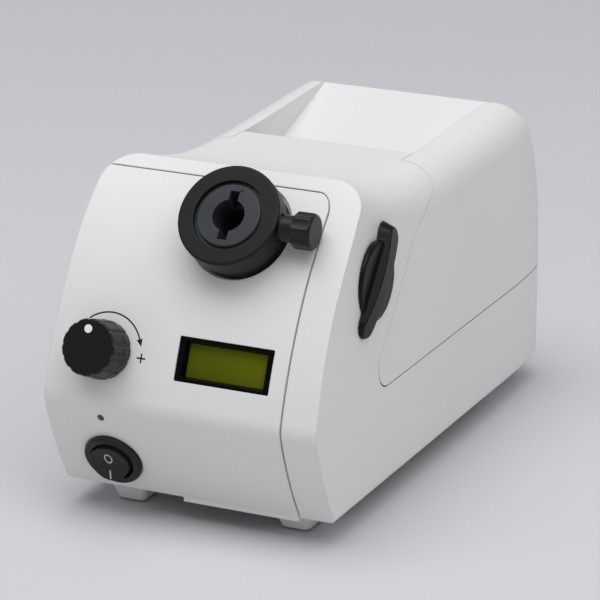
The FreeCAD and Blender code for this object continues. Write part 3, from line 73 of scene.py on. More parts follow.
class Value:
    """One number socket of a shader graph, with arithmetic that adds Math nodes."""

    def __init__(self, graph: "Graph", socket: bpy.types.NodeSocket) -> None:
        """Wraps a socket that holds one number."""
        self.graph = graph
        self.socket = socket

    def math(self, operation: str, *others: Number, swapped: bool = False) -> "Value":
        """Adds a Math node on this value.

        Args:
            operation: The Math node's operation.
            others: The other operands, in order.
            swapped: Whether this value is the second operand.

        Returns:
            The node's result.
        """
        operands = [self, *others]
        if swapped:
            operands[0], operands[1] = operands[1], operands[0]
        node = self.graph.node("ShaderNodeMath", {"operation": operation},
                               dict(enumerate(operands)))
        return Value(self.graph, node.outputs[0])

    def __add__(self, other: Number) -> "Value":
        """Sum."""
        return self.math("ADD", other)

    __radd__ = __add__

    def __sub__(self, other: Number) -> "Value":
        """Difference."""
        return self.math("SUBTRACT", other)

    def __rsub__(self, other: Number) -> "Value":
        """Difference with this value on the right."""
        return self.math("SUBTRACT", other, swapped=True)

    def __mul__(self, other: Number) -> "Value":
        """Product."""
        return self.math("MULTIPLY", other)

    __rmul__ = __mul__

    def absolute(self) -> "Value":
        """Size without its sign."""
        return self.math("ABSOLUTE")

    def sine(self) -> "Value":
        """Sine of an angle in radians."""
        return self.math("SINE")

    def ease(self, low: float, high: float) -> "Value":
        """Smooth step from 0 at low to 1 at high.

        Args:
            low: Where the step starts.
            high: Where the step ends.

        Returns:
            The eased value, which stays between 0 and 1.
        """
        node = self.graph.node("ShaderNodeMapRange", {"interpolation_type": "SMOOTHSTEP"},
                               {"Value": self, "From Min": low, "From Max": high})
        return Value(self.graph, node.outputs["Result"])

    def swing(self, reach: float) -> "Value":
        """Noise turned into a change about 0, of the given reach."""
        return (self - HALF) * reach


class Graph:
    """Node tree of one finish, with one method that adds any node."""

    bevel_samples: int = 6
    edge_highlight_levels: Point = (0.02, 0.2)
    gap_samples: int = 8
    gap_levels: Point = (0.5, 0.85)
    gap_front_fade: float = 0.01
    gap_top_fade: float = 0.002

    def __init__(self, name: str) -> None:
        """Starts an empty material with an output and a principled shader."""
        self.material = bpy.data.materials.new(name)
        self.material.use_nodes = True
        self.tree = self.material.node_tree
        self.tree.nodes.clear()
        output = self.tree.nodes.new("ShaderNodeOutputMaterial")
        self.shader = self.tree.nodes.new("ShaderNodeBsdfPrincipled")
        self.tree.links.new(self.shader.outputs[0], output.inputs["Surface"])
        self.place = self.node("ShaderNodeTexCoord").outputs["Object"]

    def node(self, kind: str, settings: dict | None = None,
             sockets: dict | None = None) -> bpy.types.Node:
        """Adds a node, sets it up and then fills its sockets.

        Args:
            kind: The node's type.
            settings: Its properties by name.
            sockets: Values or links by the name or the number of the input.

        Returns:
            The new node.
        """
        made = self.tree.nodes.new(kind)
        for key, value in (settings or {}).items():
            setattr(made, key, value)
        for key, value in (sockets or {}).items():
            self.fill(made.inputs[key], value)
        return made

    def fill(self, target: bpy.types.NodeSocket, value: object) -> None:
        """Links a socket or a wrapped value to an input, or sets the input's own value."""
        if isinstance(value, Value):
            self.tree.links.new(value.socket, target)
        elif isinstance(value, bpy.types.NodeSocket):
            self.tree.links.new(value, target)
        else:
            target.default_value = value

    def principled(self, **sockets: object) -> None:
        """Fills the principled shader's inputs, with underscores for spaces."""
        for key, value in sockets.items():
            self.fill(self.shader.inputs[key.replace("_", " ")], value)

    def vector(self, operation: str, first: object, second: object = None) -> bpy.types.Node:
        """Adds a Vector Math node.

        Args:
            operation: The node's operation.
            first: The first vector.
            second: The second vector, or the factor of a scale.

        Returns:
            The node, whose first output is a vector and second a number.
        """
        sockets = {0: first}
        if second is not None:
            sockets["Scale" if operation == "SCALE" else 1] = second
        return self.node("ShaderNodeVectorMath", {"operation": operation}, sockets)

    def along(self, place: bpy.types.NodeSocket, way: Vector) -> bpy.types.NodeSocket:
        """How far a place lies along a direction of length 1."""
        return self.vector("DOT_PRODUCT", place, tuple(way)).outputs["Value"]

    def noise(self, scale: float, detail: float = 2.0, roughness: float = 0.5,
              place: bpy.types.NodeSocket | None = None) -> Value:
        """Adds a noise texture.

        Args:
            scale: Cells in a metre.
            detail: How many finer layers it has.
            roughness: How strong the finer layers are.
            place: Where it is read, the object's own place if it isn't given.

        Returns:
            The noise, about a half in the middle.
        """
        made = self.node("ShaderNodeTexNoise", {"noise_dimensions": "3D"},
                         {"Vector": place or self.place, "Scale": scale, "Detail": detail,
                          "Roughness": roughness})
        return Value(self, made.outputs["Fac"])

    def mix(self, factor: Number, first: object, second: object) -> bpy.types.NodeSocket:
        """Mixes two colours by a factor, and returns the colour."""
        made = self.node("ShaderNodeMix", {"data_type": "RGBA", "blend_type": "MIX"})
        self.fill(made.inputs[0], factor)
        self.fill(made.inputs[6], first)
        self.fill(made.inputs[7], second)
        return made.outputs[2]

    def edges(self, radius: float) -> tuple[bpy.types.NodeSocket, Value]:
        """Rounds sharp edges in the shading.

        Args:
            radius: The rounding's radius in metres.

        Returns:
            The rounded normal, and a mask that is 1 on the edges, where a painted highlight
            lightens the colour.
        """
        rounded = self.node("ShaderNodeBevel", {"samples": self.bevel_samples},
                            {"Radius": radius}).outputs[0]
        plain = self.node("ShaderNodeNewGeometry").outputs["Normal"]
        agree = Value(self, self.vector("DOT_PRODUCT", rounded, plain).outputs["Value"])
        return rounded, (1 - agree).ease(*self.edge_highlight_levels)

    def gaps(self, reach: float, front: float, top: float) -> Value:
        """Finds narrow gaps between shells, where painted shade goes.

        Args:
            reach: How far a gap's other wall may be, in metres.
            front: The place along Y from which gaps count.
            top: The height up to which gaps count, in metres.

        Returns:
            A painted shade mask that is 1 deep in a gap and 0 in the open.
        """
        made = self.node("ShaderNodeAmbientOcclusion", {"samples": self.gap_samples},
                         {"Distance": reach})
        split = self.node("ShaderNodeSeparateXYZ", None, {0: self.place})
        behind = Value(self, split.outputs[1]).ease(front, front + self.gap_front_fade)
        below = 1 - Value(self, split.outputs[2]).ease(top - self.gap_top_fade, top)
        deep = 1 - Value(self, made.outputs["AO"]).ease(*self.gap_levels)
        return deep * behind * below

    def bump(self, height: Value, distance: float, strength: float,
             normal: bpy.types.NodeSocket | None = None) -> bpy.types.NodeSocket:
        """Adds a Bump node on a height.

        Args:
            height: The height, from 0 to 1.
            distance: How far 1 stands out, in metres.
            strength: The bump's strength.
            normal: The normal under it.

        Returns:
            The bumped normal.
        """
        sockets = {"Height": height, "Distance": distance, "Strength": strength}
        if normal is not None:
            sockets["Normal"] = normal
        return self.node("ShaderNodeBump", None, sockets).outputs[0]

    def around(self, point: Vector, way: Vector) -> tuple[Value, Value]:
        """Distances from an axis and along it.

        Args:
            point: A point on the axis.
            way: The axis's direction, of length 1.

        Returns:
            The distance from the axis and the distance along it, both in metres.
        """
        offset = self.vector("SUBTRACT", self.place, tuple(point)).outputs[0]
        along = self.along(offset, way)
        foot = self.vector("SCALE", tuple(way), along).outputs[0]
        gap = self.vector("SUBTRACT", offset, foot).outputs[0]
        return Value(self, self.vector("LENGTH", gap).outputs["Value"]), Value(self, along)


def shade(colour: Colour, factor: float = 1.0) -> tuple[float, float, float, float]:
    """Colour made lighter or darker by a factor, with full alpha."""
    return (min(1.0, colour[0] * factor), min(1.0, colour[1] * factor),
            min(1.0, colour[2] * factor), 1.0)


class Finish(Protocol):
    """What a finish can do."""

    def material(self) -> bpy.types.Material:
        """Builds the finish and returns its material."""


@dataclass(frozen=True)
class MouldedPlastic:
    """Injection moulded plastic with a fine eroded grain, a painted highlight on its edges, and
    painted shade in narrow gaps where it is asked to.
    """

    name: str
    colour: Colour
    roughness: float = 0.5
    grain: float = 2200.0
    grain_depth: float = 0.00004
    mottle: float = 0.015
    edge: float = 0.0006
    edge_highlight: float = 1.04
    coat: float = 0.0
    specular: float = 0.5
    gap_reach: float = 0.0
    gap_front: float = -0.07
    gap_top: float = 0.056
    gap_shade_tone: float = 0.02
    edge_highlight_share: float = 0.7
    grain_layers: float = 3.0
    grain_gain: float = 0.6
    grain_strength: float = 0.5
    grain_swing: float = 0.12
    mottle_scale: float = 14.0
    mottle_layers: float = 3.0
    mottle_swing: float = 0.08
    coat_roughness: float = 0.25

    def material(self) -> bpy.types.Material:
        """Builds the finish and returns its material."""
        graph = Graph(self.name)
        rounded, edge = graph.edges(self.edge)
        broad = graph.noise(self.mottle_scale, self.mottle_layers)
        fine = graph.noise(self.grain, self.grain_layers, self.grain_gain)
        body = graph.mix(broad.ease(*TONE_LEVELS), shade(self.colour, 1 - self.mottle),
                         shade(self.colour, 1 + self.mottle))
        # Painted highlight: the colour is lightened on sharp edges.
        colour = graph.mix(edge * self.edge_highlight_share, body, shade(self.colour, self.edge_highlight))
        # Painted shade: the colour is darkened deep in narrow gaps, found by ambient occlusion.
        if self.gap_reach > 0:
            deep = graph.gaps(self.gap_reach, self.gap_front, self.gap_top)
            colour = graph.mix(deep, colour, shade(self.colour, self.gap_shade_tone))
        rough = fine.swing(self.grain_swing) + broad.swing(self.mottle_swing) + self.roughness
        normal = graph.bump(fine, self.grain_depth, self.grain_strength, rounded)
        graph.principled(Base_Color=colour, Roughness=rough, Normal=normal)
        graph.principled(IOR=IOR_PLAIN, Coat_Weight=self.coat,
                         Coat_Roughness=self.coat_roughness, Specular_IOR_Level=self.specular)
        return graph.material


@dataclass(frozen=True)
class TurnedMetal:
    """Lathe-turned metal, bare or anodised, with fine rings about its axis."""

    name: str
    colour: Colour
    point: Vector
    way: Vector
    metallic: float = 0.0
    roughness: float = 0.36
    pitch: float = 0.00035
    depth: float = 0.000006
    strength: float = 1.0
    edge: float = 0.0005
    edge_highlight: float = 2.2
    marks: Side = Side.RINGS
    specular: float = 0.5
    edge_highlight_share: float = 0.6
    plain_share: float = 0.25
    lead_share: float = 0.35
    wobble_scale: float = 900.0
    wobble_share: float = 1.5
    ring_swing: float = 0.04
    cloud_scale: float = 60.0
    cloud_layers: float = 3.0
    cloud_swing: float = 0.12
    cloud_dark: float = 0.85
    cloud_light: float = 1.15

    def material(self) -> bpy.types.Material:
        """Builds the finish and returns its material."""
        graph = Graph(self.name)
        rounded, edge = graph.edges(self.edge)
        out, along = graph.around(self.point, self.way)
        wobble = graph.noise(self.wobble_scale) * (self.pitch * self.wobble_share)
        lead = out + along * self.lead_share + wobble
        rings = (lead * (2 * math.pi / self.pitch)).sine() * HALF + HALF
        cloud = graph.noise(self.cloud_scale, self.cloud_layers)
        tone = graph.mix(cloud.ease(*TONE_LEVELS), shade(self.colour, self.cloud_dark),
                         shade(self.colour, self.cloud_light))
        # Painted highlight: the colour is lightened on sharp edges.
        colour = graph.mix(edge * self.edge_highlight_share, tone, shade(self.colour, self.edge_highlight))
        rough = self.roughness + cloud.swing(self.cloud_swing) + rings.swing(self.ring_swing)
        depth = self.depth if self.marks is Side.RINGS else self.depth * self.plain_share
        normal = graph.bump(rings, depth, self.strength, rounded)
        graph.principled(Base_Color=colour, Roughness=rough, Normal=normal)
        graph.principled(Metallic=self.metallic, IOR=IOR_ANODISED,
                         Specular_IOR_Level=self.specular)
        return graph.material


@dataclass(frozen=True)
class PlatedSteel:
    """Plated or extruded metal, drawn along one direction."""

    name: str
    colour: Colour
    way: Vector = RIGHT
    roughness: float = 0.38
    edge: float = 0.0003
    edge_highlight_share: float = 0.5
    edge_highlight: float = 1.15
    squeeze: float = 0.97
    line_scale: float = 2600.0
    line_layers: float = 3.0
    line_gain: float = 0.6
    line_depth: float = 0.00001
    line_strength: float = 0.4
    line_swing: float = 0.2
    spangle_scale: float = 160.0
    spangle_layers: float = 3.0
    spangle_swing: float = 0.1
    spangle_dark: float = 0.9
    spangle_light: float = 1.06

    def material(self) -> bpy.types.Material:
        """Builds the finish and returns its material."""
        graph = Graph(self.name)
        rounded, edge = graph.edges(self.edge)
        along = graph.along(graph.place, self.way)
        streak = graph.vector("SCALE", tuple(self.way * -self.squeeze), along).outputs[0]
        drawn = graph.vector("ADD", graph.place, streak).outputs[0]
        lines = graph.noise(self.line_scale, self.line_layers, self.line_gain, drawn)
        spangle = graph.noise(self.spangle_scale, self.spangle_layers)
        tone = graph.mix(spangle.ease(*TONE_LEVELS), shade(self.colour, self.spangle_dark),
                         shade(self.colour, self.spangle_light))
        # Painted highlight: the colour is lightened on sharp edges.
        colour = graph.mix(edge * self.edge_highlight_share, tone, shade(self.colour, self.edge_highlight))
        rough = self.roughness + lines.swing(self.line_swing) + spangle.swing(self.spangle_swing)
        normal = graph.bump(lines, self.line_depth, self.line_strength, rounded)
        graph.principled(Base_Color=colour, Roughness=rough, Normal=normal)
        graph.principled(Metallic=1.0)
        return graph.material


@dataclass(frozen=True)
class Rubber:
    """Matt rubber with a pebbled face and a little dust."""

    name: str
    colour: Colour
    roughness: float = 0.78
    pebble_scale: float = 1500.0
    pebble_depth: float = 0.00005
    pebble_strength: float = 0.5
    pebble_swing: float = 0.15
    dust_scale: float = 90.0
    dust_layers: float = 4.0
    dust_levels: Point = (0.45, 0.75)
    dust_share: float = 0.4
    dust_light: float = 1.9

    def material(self) -> bpy.types.Material:
        """Builds the finish and returns its material."""
        graph = Graph(self.name)
        pebble = graph.noise(self.pebble_scale)
        dust = graph.noise(self.dust_scale, self.dust_layers).ease(*self.dust_levels)
        colour = graph.mix(dust * self.dust_share, shade(self.colour),
                           shade(self.colour, self.dust_light))
        normal = graph.bump(pebble, self.pebble_depth, self.pebble_strength)
        graph.principled(Base_Color=colour, Normal=normal,
                         Roughness=self.roughness + pebble.swing(self.pebble_swing))
        graph.principled(IOR=IOR_PLAIN)
        return graph.material


@dataclass(frozen=True)
class ClearGlass:
    """Polished glass, clear or tinted, with a faint haze."""

    name: str
    colour: Colour
    roughness: float = 0.02
    haze_scale: float = 220.0
    haze_layers: float = 3.0
    haze_levels: Point = (0.4, 0.7)
    haze_tone: float = 0.97
    haze_rough: float = 0.03

    def material(self) -> bpy.types.Material:
        """Builds the finish and returns its material."""
        graph = Graph(self.name)
        haze = graph.noise(self.haze_scale, self.haze_layers)
        colour = graph.mix(haze.ease(*self.haze_levels), shade(self.colour),
                           shade(self.colour, self.haze_tone))
        graph.principled(Base_Color=colour, Roughness=self.roughness + haze * self.haze_rough)
        graph.principled(Transmission_Weight=1.0, IOR=IOR_PLAIN)
        return graph.material


@dataclass(frozen=True)
class UnlitScreen:
    """Character screen that is off: olive glass with the faint cells of its two rows, and painted
    light and shade across it, darker towards the lower left and lighter towards the upper right.
    """

    name: str
    colour: Colour
    middle: Vector
    right: Vector
    up: Vector
    width: float = 0.0342
    height: float = 0.0134
    columns: int = 16
    rows: int = 2
    columns_share: float = 0.9
    rows_share: float = 0.86
    column_levels: Point = (0.15, 0.4)
    row_levels: Point = (0.2, 0.45)
    cell_share: float = 0.08
    cell_tone: float = 0.6
    painted_light_rise: float = 0.6
    painted_light_levels: Point = (-0.2, 1.2)
    painted_shade_tone: float = 0.8
    painted_light_tone: float = 1.18
    roughness: float = 0.3
    cloud_scale: float = 70.0
    cloud_layers: float = 3.0
    cloud_swing: float = 0.06
    specular: float = 0.12

    def material(self) -> bpy.types.Material:
        """Builds the finish and returns its material."""
        graph = Graph(self.name)
        offset = graph.vector("SUBTRACT", graph.place, tuple(self.middle)).outputs[0]
        u = Value(graph, graph.along(offset, self.right))
        v = Value(graph, graph.along(offset, self.up))
        column_pitch = self.width * self.columns_share / self.columns
        row_pitch = self.height * self.rows_share / self.rows
        across = (u * (math.pi / column_pitch)).sine().absolute()
        down = (v * (math.pi / row_pitch)).sine().absolute()
        cell = across.ease(*self.column_levels) * down.ease(*self.row_levels)
        # Painted light and shade: a slope across the screen, lighter towards the upper right.
        painted_light_slope = u * (1 / self.width) + v * (self.painted_light_rise / self.height) + HALF
        cloud = graph.noise(self.cloud_scale, self.cloud_layers)
        base = graph.mix(painted_light_slope.ease(*self.painted_light_levels), shade(self.colour, self.painted_shade_tone),
                         shade(self.colour, self.painted_light_tone))
        colour = graph.mix(cell * self.cell_share, base, shade(self.colour, self.cell_tone))
        graph.principled(Base_Color=colour,
                         Roughness=self.roughness + cloud.swing(self.cloud_swing))
        graph.principled(IOR=IOR_PLAIN, Specular_IOR_Level=self.specular)
        return graph.material


@dataclass(frozen=True)
class LacquerBoard:
    """Circuit board: green lacquer with tracks, and darker parts above its face."""

    name: str
    colour: Colour
    face: float
    parts: Colour = (0.03, 0.03, 0.035)
    roughness: float = 0.35
    parts_rough: float = 0.2
    parts_levels: Point = (0.0002, 0.0004)
    track_scale: float = 2400.0
    track_levels: Point = (0.75, 0.9)
    track_light: float = 1.8
    track_depth: float = 0.00003
    track_strength: float = 0.4
    bend_scale: float = 120.0
    bend_levels: Point = (0.48, 0.52)

    def tracks(self, place: Value) -> Value:
        """Even lines across one direction, 1 on a track and 0 between."""
        return (place * self.track_scale).sine().absolute().ease(*self.track_levels)

    def material(self) -> bpy.types.Material:
        """Builds the finish and returns its material."""
        graph = Graph(self.name)
        split = graph.node("ShaderNodeSeparateXYZ", None, {0: graph.place})
        x, y, z = (Value(graph, split.outputs[index]) for index in range(3))
        bends = graph.noise(self.bend_scale).ease(*self.bend_levels)
        copper = self.tracks(x) * bends + self.tracks(y) * (1 - bends)
        board = graph.mix(copper, shade(self.colour), shade(self.colour, self.track_light))
        low, high = self.parts_levels
        above = z.ease(self.face + low, self.face + high)
        colour = graph.mix(above, board, shade(self.parts))
        normal = graph.bump(copper, self.track_depth, self.track_strength)
        graph.principled(Base_Color=colour, Normal=normal,
                         Roughness=self.roughness + above * self.parts_rough)
        graph.principled(IOR=IOR_PLAIN)
        return graph.material


@dataclass(frozen=True)
class PrintedInk:
    """Pad-printed ink, slightly uneven."""

    name: str
    colour: Colour
    roughness: float = 0.42
    patch_scale: float = 1400.0
    patch_layers: float = 3.0
    patch_levels: Point = (0.3, 0.8)
    patch_dark: float = 0.85
    patch_light: float = 1.2
    patch_depth: float = 0.00001
    patch_strength: float = 0.3
    patch_swing: float = 0.2

    def material(self) -> bpy.types.Material:
        """Builds the finish and returns its material."""
        graph = Graph(self.name)
        patch = graph.noise(self.patch_scale, self.patch_layers)
        colour = graph.mix(patch.ease(*self.patch_levels), shade(self.colour, self.patch_dark),
                           shade(self.colour, self.patch_light))
        normal = graph.bump(patch, self.patch_depth, self.patch_strength)
        graph.principled(Base_Color=colour, Normal=normal,
                         Roughness=self.roughness + patch.swing(self.patch_swing))
        graph.principled(IOR=IOR_PLAIN)
        return graph.material


def dress(finish: Finish, *names: str) -> None:
    """Puts a finish on nodes of the model.

    Args:
        finish: A finish, which can build its material.
        names: The nodes' names.
    """
    material = finish.material()
    for name in names:
        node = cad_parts[name]
        for slot in node.material_slots:
            slot.material = material
        if not node.material_slots:
            node.data.materials.append(material)
        logger.info("dressed %s with %s", name, material.name)


@dataclass(frozen=True)
class Surface:
    """Outer face of a node, on which flat marks are laid along one direction."""

    node: str
    middle: Vector
    right: Vector
    up: Vector
    lift: float = 0.00004
    start: float = 0.03

    @property
    def out(self) -> Vector:
        """Direction that the face looks in."""
        return self.right.cross(self.up)

    def lay(self, points: Iterable[Point]) -> list[Vector]:
        """Drops points onto the face.

        Args:
            points: Pairs along right and up from the middle, in metres.

        Returns:
            The points just over the face.
        """
        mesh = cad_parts[self.node].data
        tree = BVHTree.FromPolygons([vertex.co for vertex in mesh.vertices],
                                    [tuple(face.vertices) for face in mesh.polygons])
        out = self.out
        laid = []
        for u, v in points:
            above = self.middle + self.right * u + self.up * v + out * self.start
            laid.append(tree.ray_cast(above, -out)[0] + out * self.lift)
        return laid


def strip_mark(name: str, surface: Surface, edges: tuple[Sequence[Point], Sequence[Point]],
               material: bpy.types.Material, body: str) -> None:
    """Thin mark between two lines of points, laid on a face.

    Args:
        name: The piece's name.
        surface: The face it lies on.
        edges: Points of its two edges, along the face, as many on each.
        material: The ink.
        body: The body that it rides.
    """
    inner, outer = edges
    count = len(inner)
    points = surface.lay([*inner, *outer])
    faces = [(index, index + 1, count + index + 1, count + index) for index in range(count - 1)]
    mesh = bpy.data.meshes.new(name)
    mesh.from_pydata(points, [], faces)
    mesh.update()
    wanted = surface.out
    if sum(face.normal.dot(wanted) for face in mesh.polygons) < 0:
        mesh.flip_normals()
    piece = bpy.data.objects.new(name, mesh)
    bpy.context.scene.collection.objects.link(piece)
    mesh.materials.append(material)
    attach(piece, body)
    logger.info("made %s on %s", name, body)


def arc_edges(middle: Point, radius: float, width: float, angles: Point, steps: int,
              shape: float = 1.0) -> tuple[list[Point], list[Point]]:
    """Inner and outer edge of an arc.

    Args:
        middle: Its middle on the face.
        radius: The radius of its middle line.
        width: The line's width.
        angles: Where it starts and ends, in degrees.
        steps: How many pieces it has.
        shape: How far it is squeezed sideways.

    Returns:
        The points of both edges.
    """
    start, finish = angles
    turns = [math.radians(start + (finish - start) * index / steps) for index in range(steps + 1)]
    inner, outer = ([(reach * math.cos(turn) * shape + middle[0],
                      reach * math.sin(turn) + middle[1]) for turn in turns]
                    for reach in (radius - width / 2, radius + width / 2))
    return inner, outer


def bar_edges(middle: Point, width: float, height: float,
              steps: int = 4) -> tuple[list[Point], list[Point]]:
    """Left and right edges of an upright bar about a point."""
    u, v = middle
    rises = [v - height / 2 + height * index / steps for index in range(steps + 1)]
    return [(u - width / 2, rise) for rise in rises], [(u + width / 2, rise) for rise in rises]


@dataclass
class Housing:
    """Moulded shells, base plate, feet and their screws."""

    white: MouldedPlastic = MouldedPlastic("housing_off_white", (0.81, 0.81, 0.795),
                                           roughness=0.46, gap_reach=0.002)
    steel: PlatedSteel = PlatedSteel("plated_base_steel", (0.60, 0.61, 0.62))
    pad: Rubber = Rubber("pad_rubber", (0.035, 0.035, 0.036))

    def build(self) -> None:
        """Dresses the housing."""
        dress(self.white, "lower_housing", "front_panel", "top_cover", "feet")
        dress(self.steel, "base_plate", "foot_screws", "housing_screws")
        dress(self.pad, "foot_pads")


@dataclass
class LightGuideHolder:
    """Collar with its keyed insert, ring nut and clamp screw."""

    black: Colour = (0.011, 0.011, 0.0115)
    clamp_depth: float = 0.0062

    def build(self) -> None:
        """Dresses the collar and the clamp screw."""
        clamp = BEAM_MOUTH - BEAM_WAY * self.clamp_depth
        dress(TurnedMetal("collar_anodised", self.black, BEAM_MOUTH, BEAM_WAY, roughness=0.4,
                          specular=0.14), "collar", "collar_nut")
        dress(TurnedMetal("insert_anodised", (0.034, 0.038, 0.042), BEAM_MOUTH, BEAM_WAY,
                          roughness=0.38, pitch=0.0005, depth=0.00001, edge=0.0003,
                          specular=0.2), "guide_insert")
        dress(TurnedMetal("clamp_anodised", self.black, clamp, RIGHT, roughness=0.34,
                          edge=0.0004, edge_highlight=3.0, specular=0.2), "clamp_bush", "clamp_head")
        dress(TurnedMetal("blackened_stud", (0.03, 0.03, 0.032), clamp, RIGHT, metallic=0.6,
                          roughness=0.4), "clamp_stud")
        dress(TurnedMetal("turned_brass", (0.52, 0.36, 0.12), clamp, RIGHT, metallic=1.0,
                          roughness=0.3), "clamp_tip")


@dataclass
class Dimmer:
    """Fluted knob with its mark, the printed arrow round it, and the control behind it."""

    middle: Vector = Vector((-0.03787, -0.111067, 0.0731))
    up: Vector = Vector((0.0, 0.37686, 0.92627))
    arrow_middle: Point = (0.00098, 0.00026)
    arrow_radius: float = 0.01509
    arrow_width: float = 0.00062
    arrow_start: float = 130.0
    arrow_finish: float = 23.8
    arrow_steps: int = 48
    head_length: float = 0.0030
    head_width: float = 0.0026
    head_steps: int = 4
    plus_reach: float = 0.0019
    plus_place: Point = (0.01675, -0.00104)

    def head_edges(self) -> tuple[list[Point], list[Point]]:
        """Left and right edges of the arrow's head."""
        angle = math.radians(self.arrow_finish)
        base = (self.arrow_middle[0] + self.arrow_radius * math.cos(angle),
                self.arrow_middle[1] + self.arrow_radius * math.sin(angle))
        way = (math.sin(angle), -math.cos(angle))
        side = (-way[1], way[0])
        left, right = [], []
        for step in range(self.head_steps + 1):
            share = step / self.head_steps
            reach = self.head_length * share
            wide = self.head_width / 2 * (1 - share)
            spot = (base[0] + way[0] * reach, base[1] + way[1] * reach)
            left.append((spot[0] - side[0] * wide, spot[1] - side[1] * wide))
            right.append((spot[0] + side[0] * wide, spot[1] + side[1] * wide))
        return left, right

    def build(self, ink: bpy.types.Material) -> None:
        """Dresses the knob and prints the arrow and the plus mark.

        Args:
            ink: The ink of the marks on the panel.
        """
        panel = Surface("front_panel", self.middle, RIGHT, self.up)
        dress(MouldedPlastic("knob_black", (0.006, 0.006, 0.0065), roughness=0.34, grain=1500.0,
                             grain_depth=0.00003, mottle=0.03, edge=0.0004, edge_highlight=2.4,
                             specular=0.3), "dimmer_knob")
        dress(MouldedPlastic("knob_mark_white", (0.92, 0.92, 0.91), roughness=0.35,
                             edge=0.0003), "knob_marker")
        dress(TurnedMetal("control_steel", (0.55, 0.56, 0.57), self.middle, panel.out,
                          metallic=1.0, roughness=0.3),
              "dimmer_shaft", "dimmer_control", "dimmer_nut")
        marks = {
            "dimmer_arrow_line": arc_edges(self.arrow_middle, self.arrow_radius, self.arrow_width,
                                           (self.arrow_start, self.arrow_finish),
                                           self.arrow_steps),
            "dimmer_arrow_head": self.head_edges(),
            "dimmer_plus_upright": bar_edges(self.plus_place, self.arrow_width,
                                             2 * self.plus_reach),
            "dimmer_plus_level": bar_edges(self.plus_place, 2 * self.plus_reach,
                                           self.arrow_width),
        }
        for name, edges in marks.items():
            strip_mark(name, panel, edges, ink, "housing")


@dataclass
class PowerSwitch:
    """Round rocker switch with its ring and bar marks."""

    middle: Vector = Vector((-0.03607, -0.107685, 0.026))
    up: Vector = Vector((0.0, -0.43471, 0.90057))
    mark_width: float = 0.0006
    ring_radius: float = 0.0021
    ring_shape: float = 0.75
    ring_rise: float = 0.0035
    ring_steps: int = 40
    bar_height: float = 0.0036
    bar_drop: float = 0.0039

    def build(self, ink: bpy.types.Material) -> None:
        """Dresses the switch and prints its marks.

        Args:
            ink: The light ink of the marks.
        """
        dress(MouldedPlastic("switch_black", (0.011, 0.011, 0.012), roughness=0.36,
                             grain=1800.0, grain_depth=0.00002, mottle=0.03, edge=0.0004,
                             edge_highlight=2.6, specular=0.3), "switch_body", "switch_rocker")
        face = Surface("switch_rocker", self.middle, RIGHT, self.up)
        ring = arc_edges((0.0, self.ring_rise), self.ring_radius, self.mark_width, (0.0, 360.0),
                         self.ring_steps, self.ring_shape)
        strip_mark("rocker_ring_mark", face, ring, ink, "rocker")
        bar = bar_edges((0.0, -self.bar_drop), self.mark_width, self.bar_height)
        strip_mark("rocker_bar_mark", face, bar, ink, "rocker")


@dataclass
class DisplayUnit:
    """Display frame, its screen, and the status lamp."""

    middle: Vector = Vector((0.01493, -0.110531, 0.0744))
    up: Vector = Vector((0.0, 0.38453, 0.92311))

    def build(self) -> None:
        """Dresses the display."""
        dress(MouldedPlastic("bezel_black", (0.0016, 0.0014, 0.0018), roughness=0.16,
                             grain=1500.0, grain_depth=0.00001, mottle=0.02, edge=0.0003,
                             edge_highlight=2.0, specular=0.1), "display_frame")
        dress(UnlitScreen("screen_olive", (0.104, 0.12, 0.001), self.middle, RIGHT, self.up),
              "lcd_screen")
        dress(MouldedPlastic("lamp_dark", (0.01, 0.012, 0.01), roughness=0.2, grain=900.0,
                             grain_depth=0.00001, mottle=0.05, edge=0.0003, edge_highlight=1.5,
                             coat=0.5), "status_lamp")


@dataclass
class FilterSlide:
    """Filter slide with its grip at the housing's right, and the slide's guide."""

    grip: Colour = (0.005, 0.005, 0.0058)
    glass: Colour = (0.45, 0.62, 0.92)

    def build(self) -> None:
        """Dresses the slide."""
        # Painted highlight: the large edge factor lightens the grip's ridge and edges strongly.
        dress(MouldedPlastic("grip_charcoal", self.grip, roughness=0.32, grain=1500.0,
                             grain_depth=0.00004, mottle=0.04, edge=0.0007, edge_highlight=14.0,
                             specular=0.17), "filter_handle")
        dress(TurnedMetal("slide_anodised", (0.02, 0.02, 0.021), BEAM_MOUTH, BEAM_WAY,
                          roughness=0.4, marks=Side.PLAIN), "filter_slider", "filter_guide")
        dress(ClearGlass("filter_blue", self.glass), "filter_glass")
        dress(TurnedMetal("retaining_ring", (0.55, 0.56, 0.57), BEAM_MOUTH, BEAM_WAY,
                          metallic=1.0, roughness=0.32), "filter_ring")


@dataclass
class LightEngine:
    """Lens barrels, lenses, emitter, heat sink and fan."""

    black: Colour = (0.018, 0.018, 0.019)
    yellow: Colour = (0.80, 0.66, 0.12)

    def build(self) -> None:
        """Dresses the light engine."""
        dress(TurnedMetal("barrel_anodised", self.black, BEAM_MOUTH, BEAM_WAY, roughness=0.4),
              "front_barrel", "rear_barrel")
        dress(ClearGlass("lens_glass", (0.97, 0.98, 0.97)), "front_lens", "rear_lens")
        dress(PlatedSteel("extruded_aluminium", (0.78, 0.79, 0.80), FIN_WAY, roughness=0.42),
              "heat_sink", "led_board")
        dress(MouldedPlastic("emitter_yellow", self.yellow, roughness=0.3, edge=0.0003),
              "led_emitter")
        dress(MouldedPlastic("fan_black", self.black, roughness=0.45, grain=1500.0,
                             edge_highlight=2.0), "fan_frame", "fan_rotor")
        dress(PlatedSteel("bracket_steel", (0.62, 0.63, 0.64), BACK), "engine_brackets")


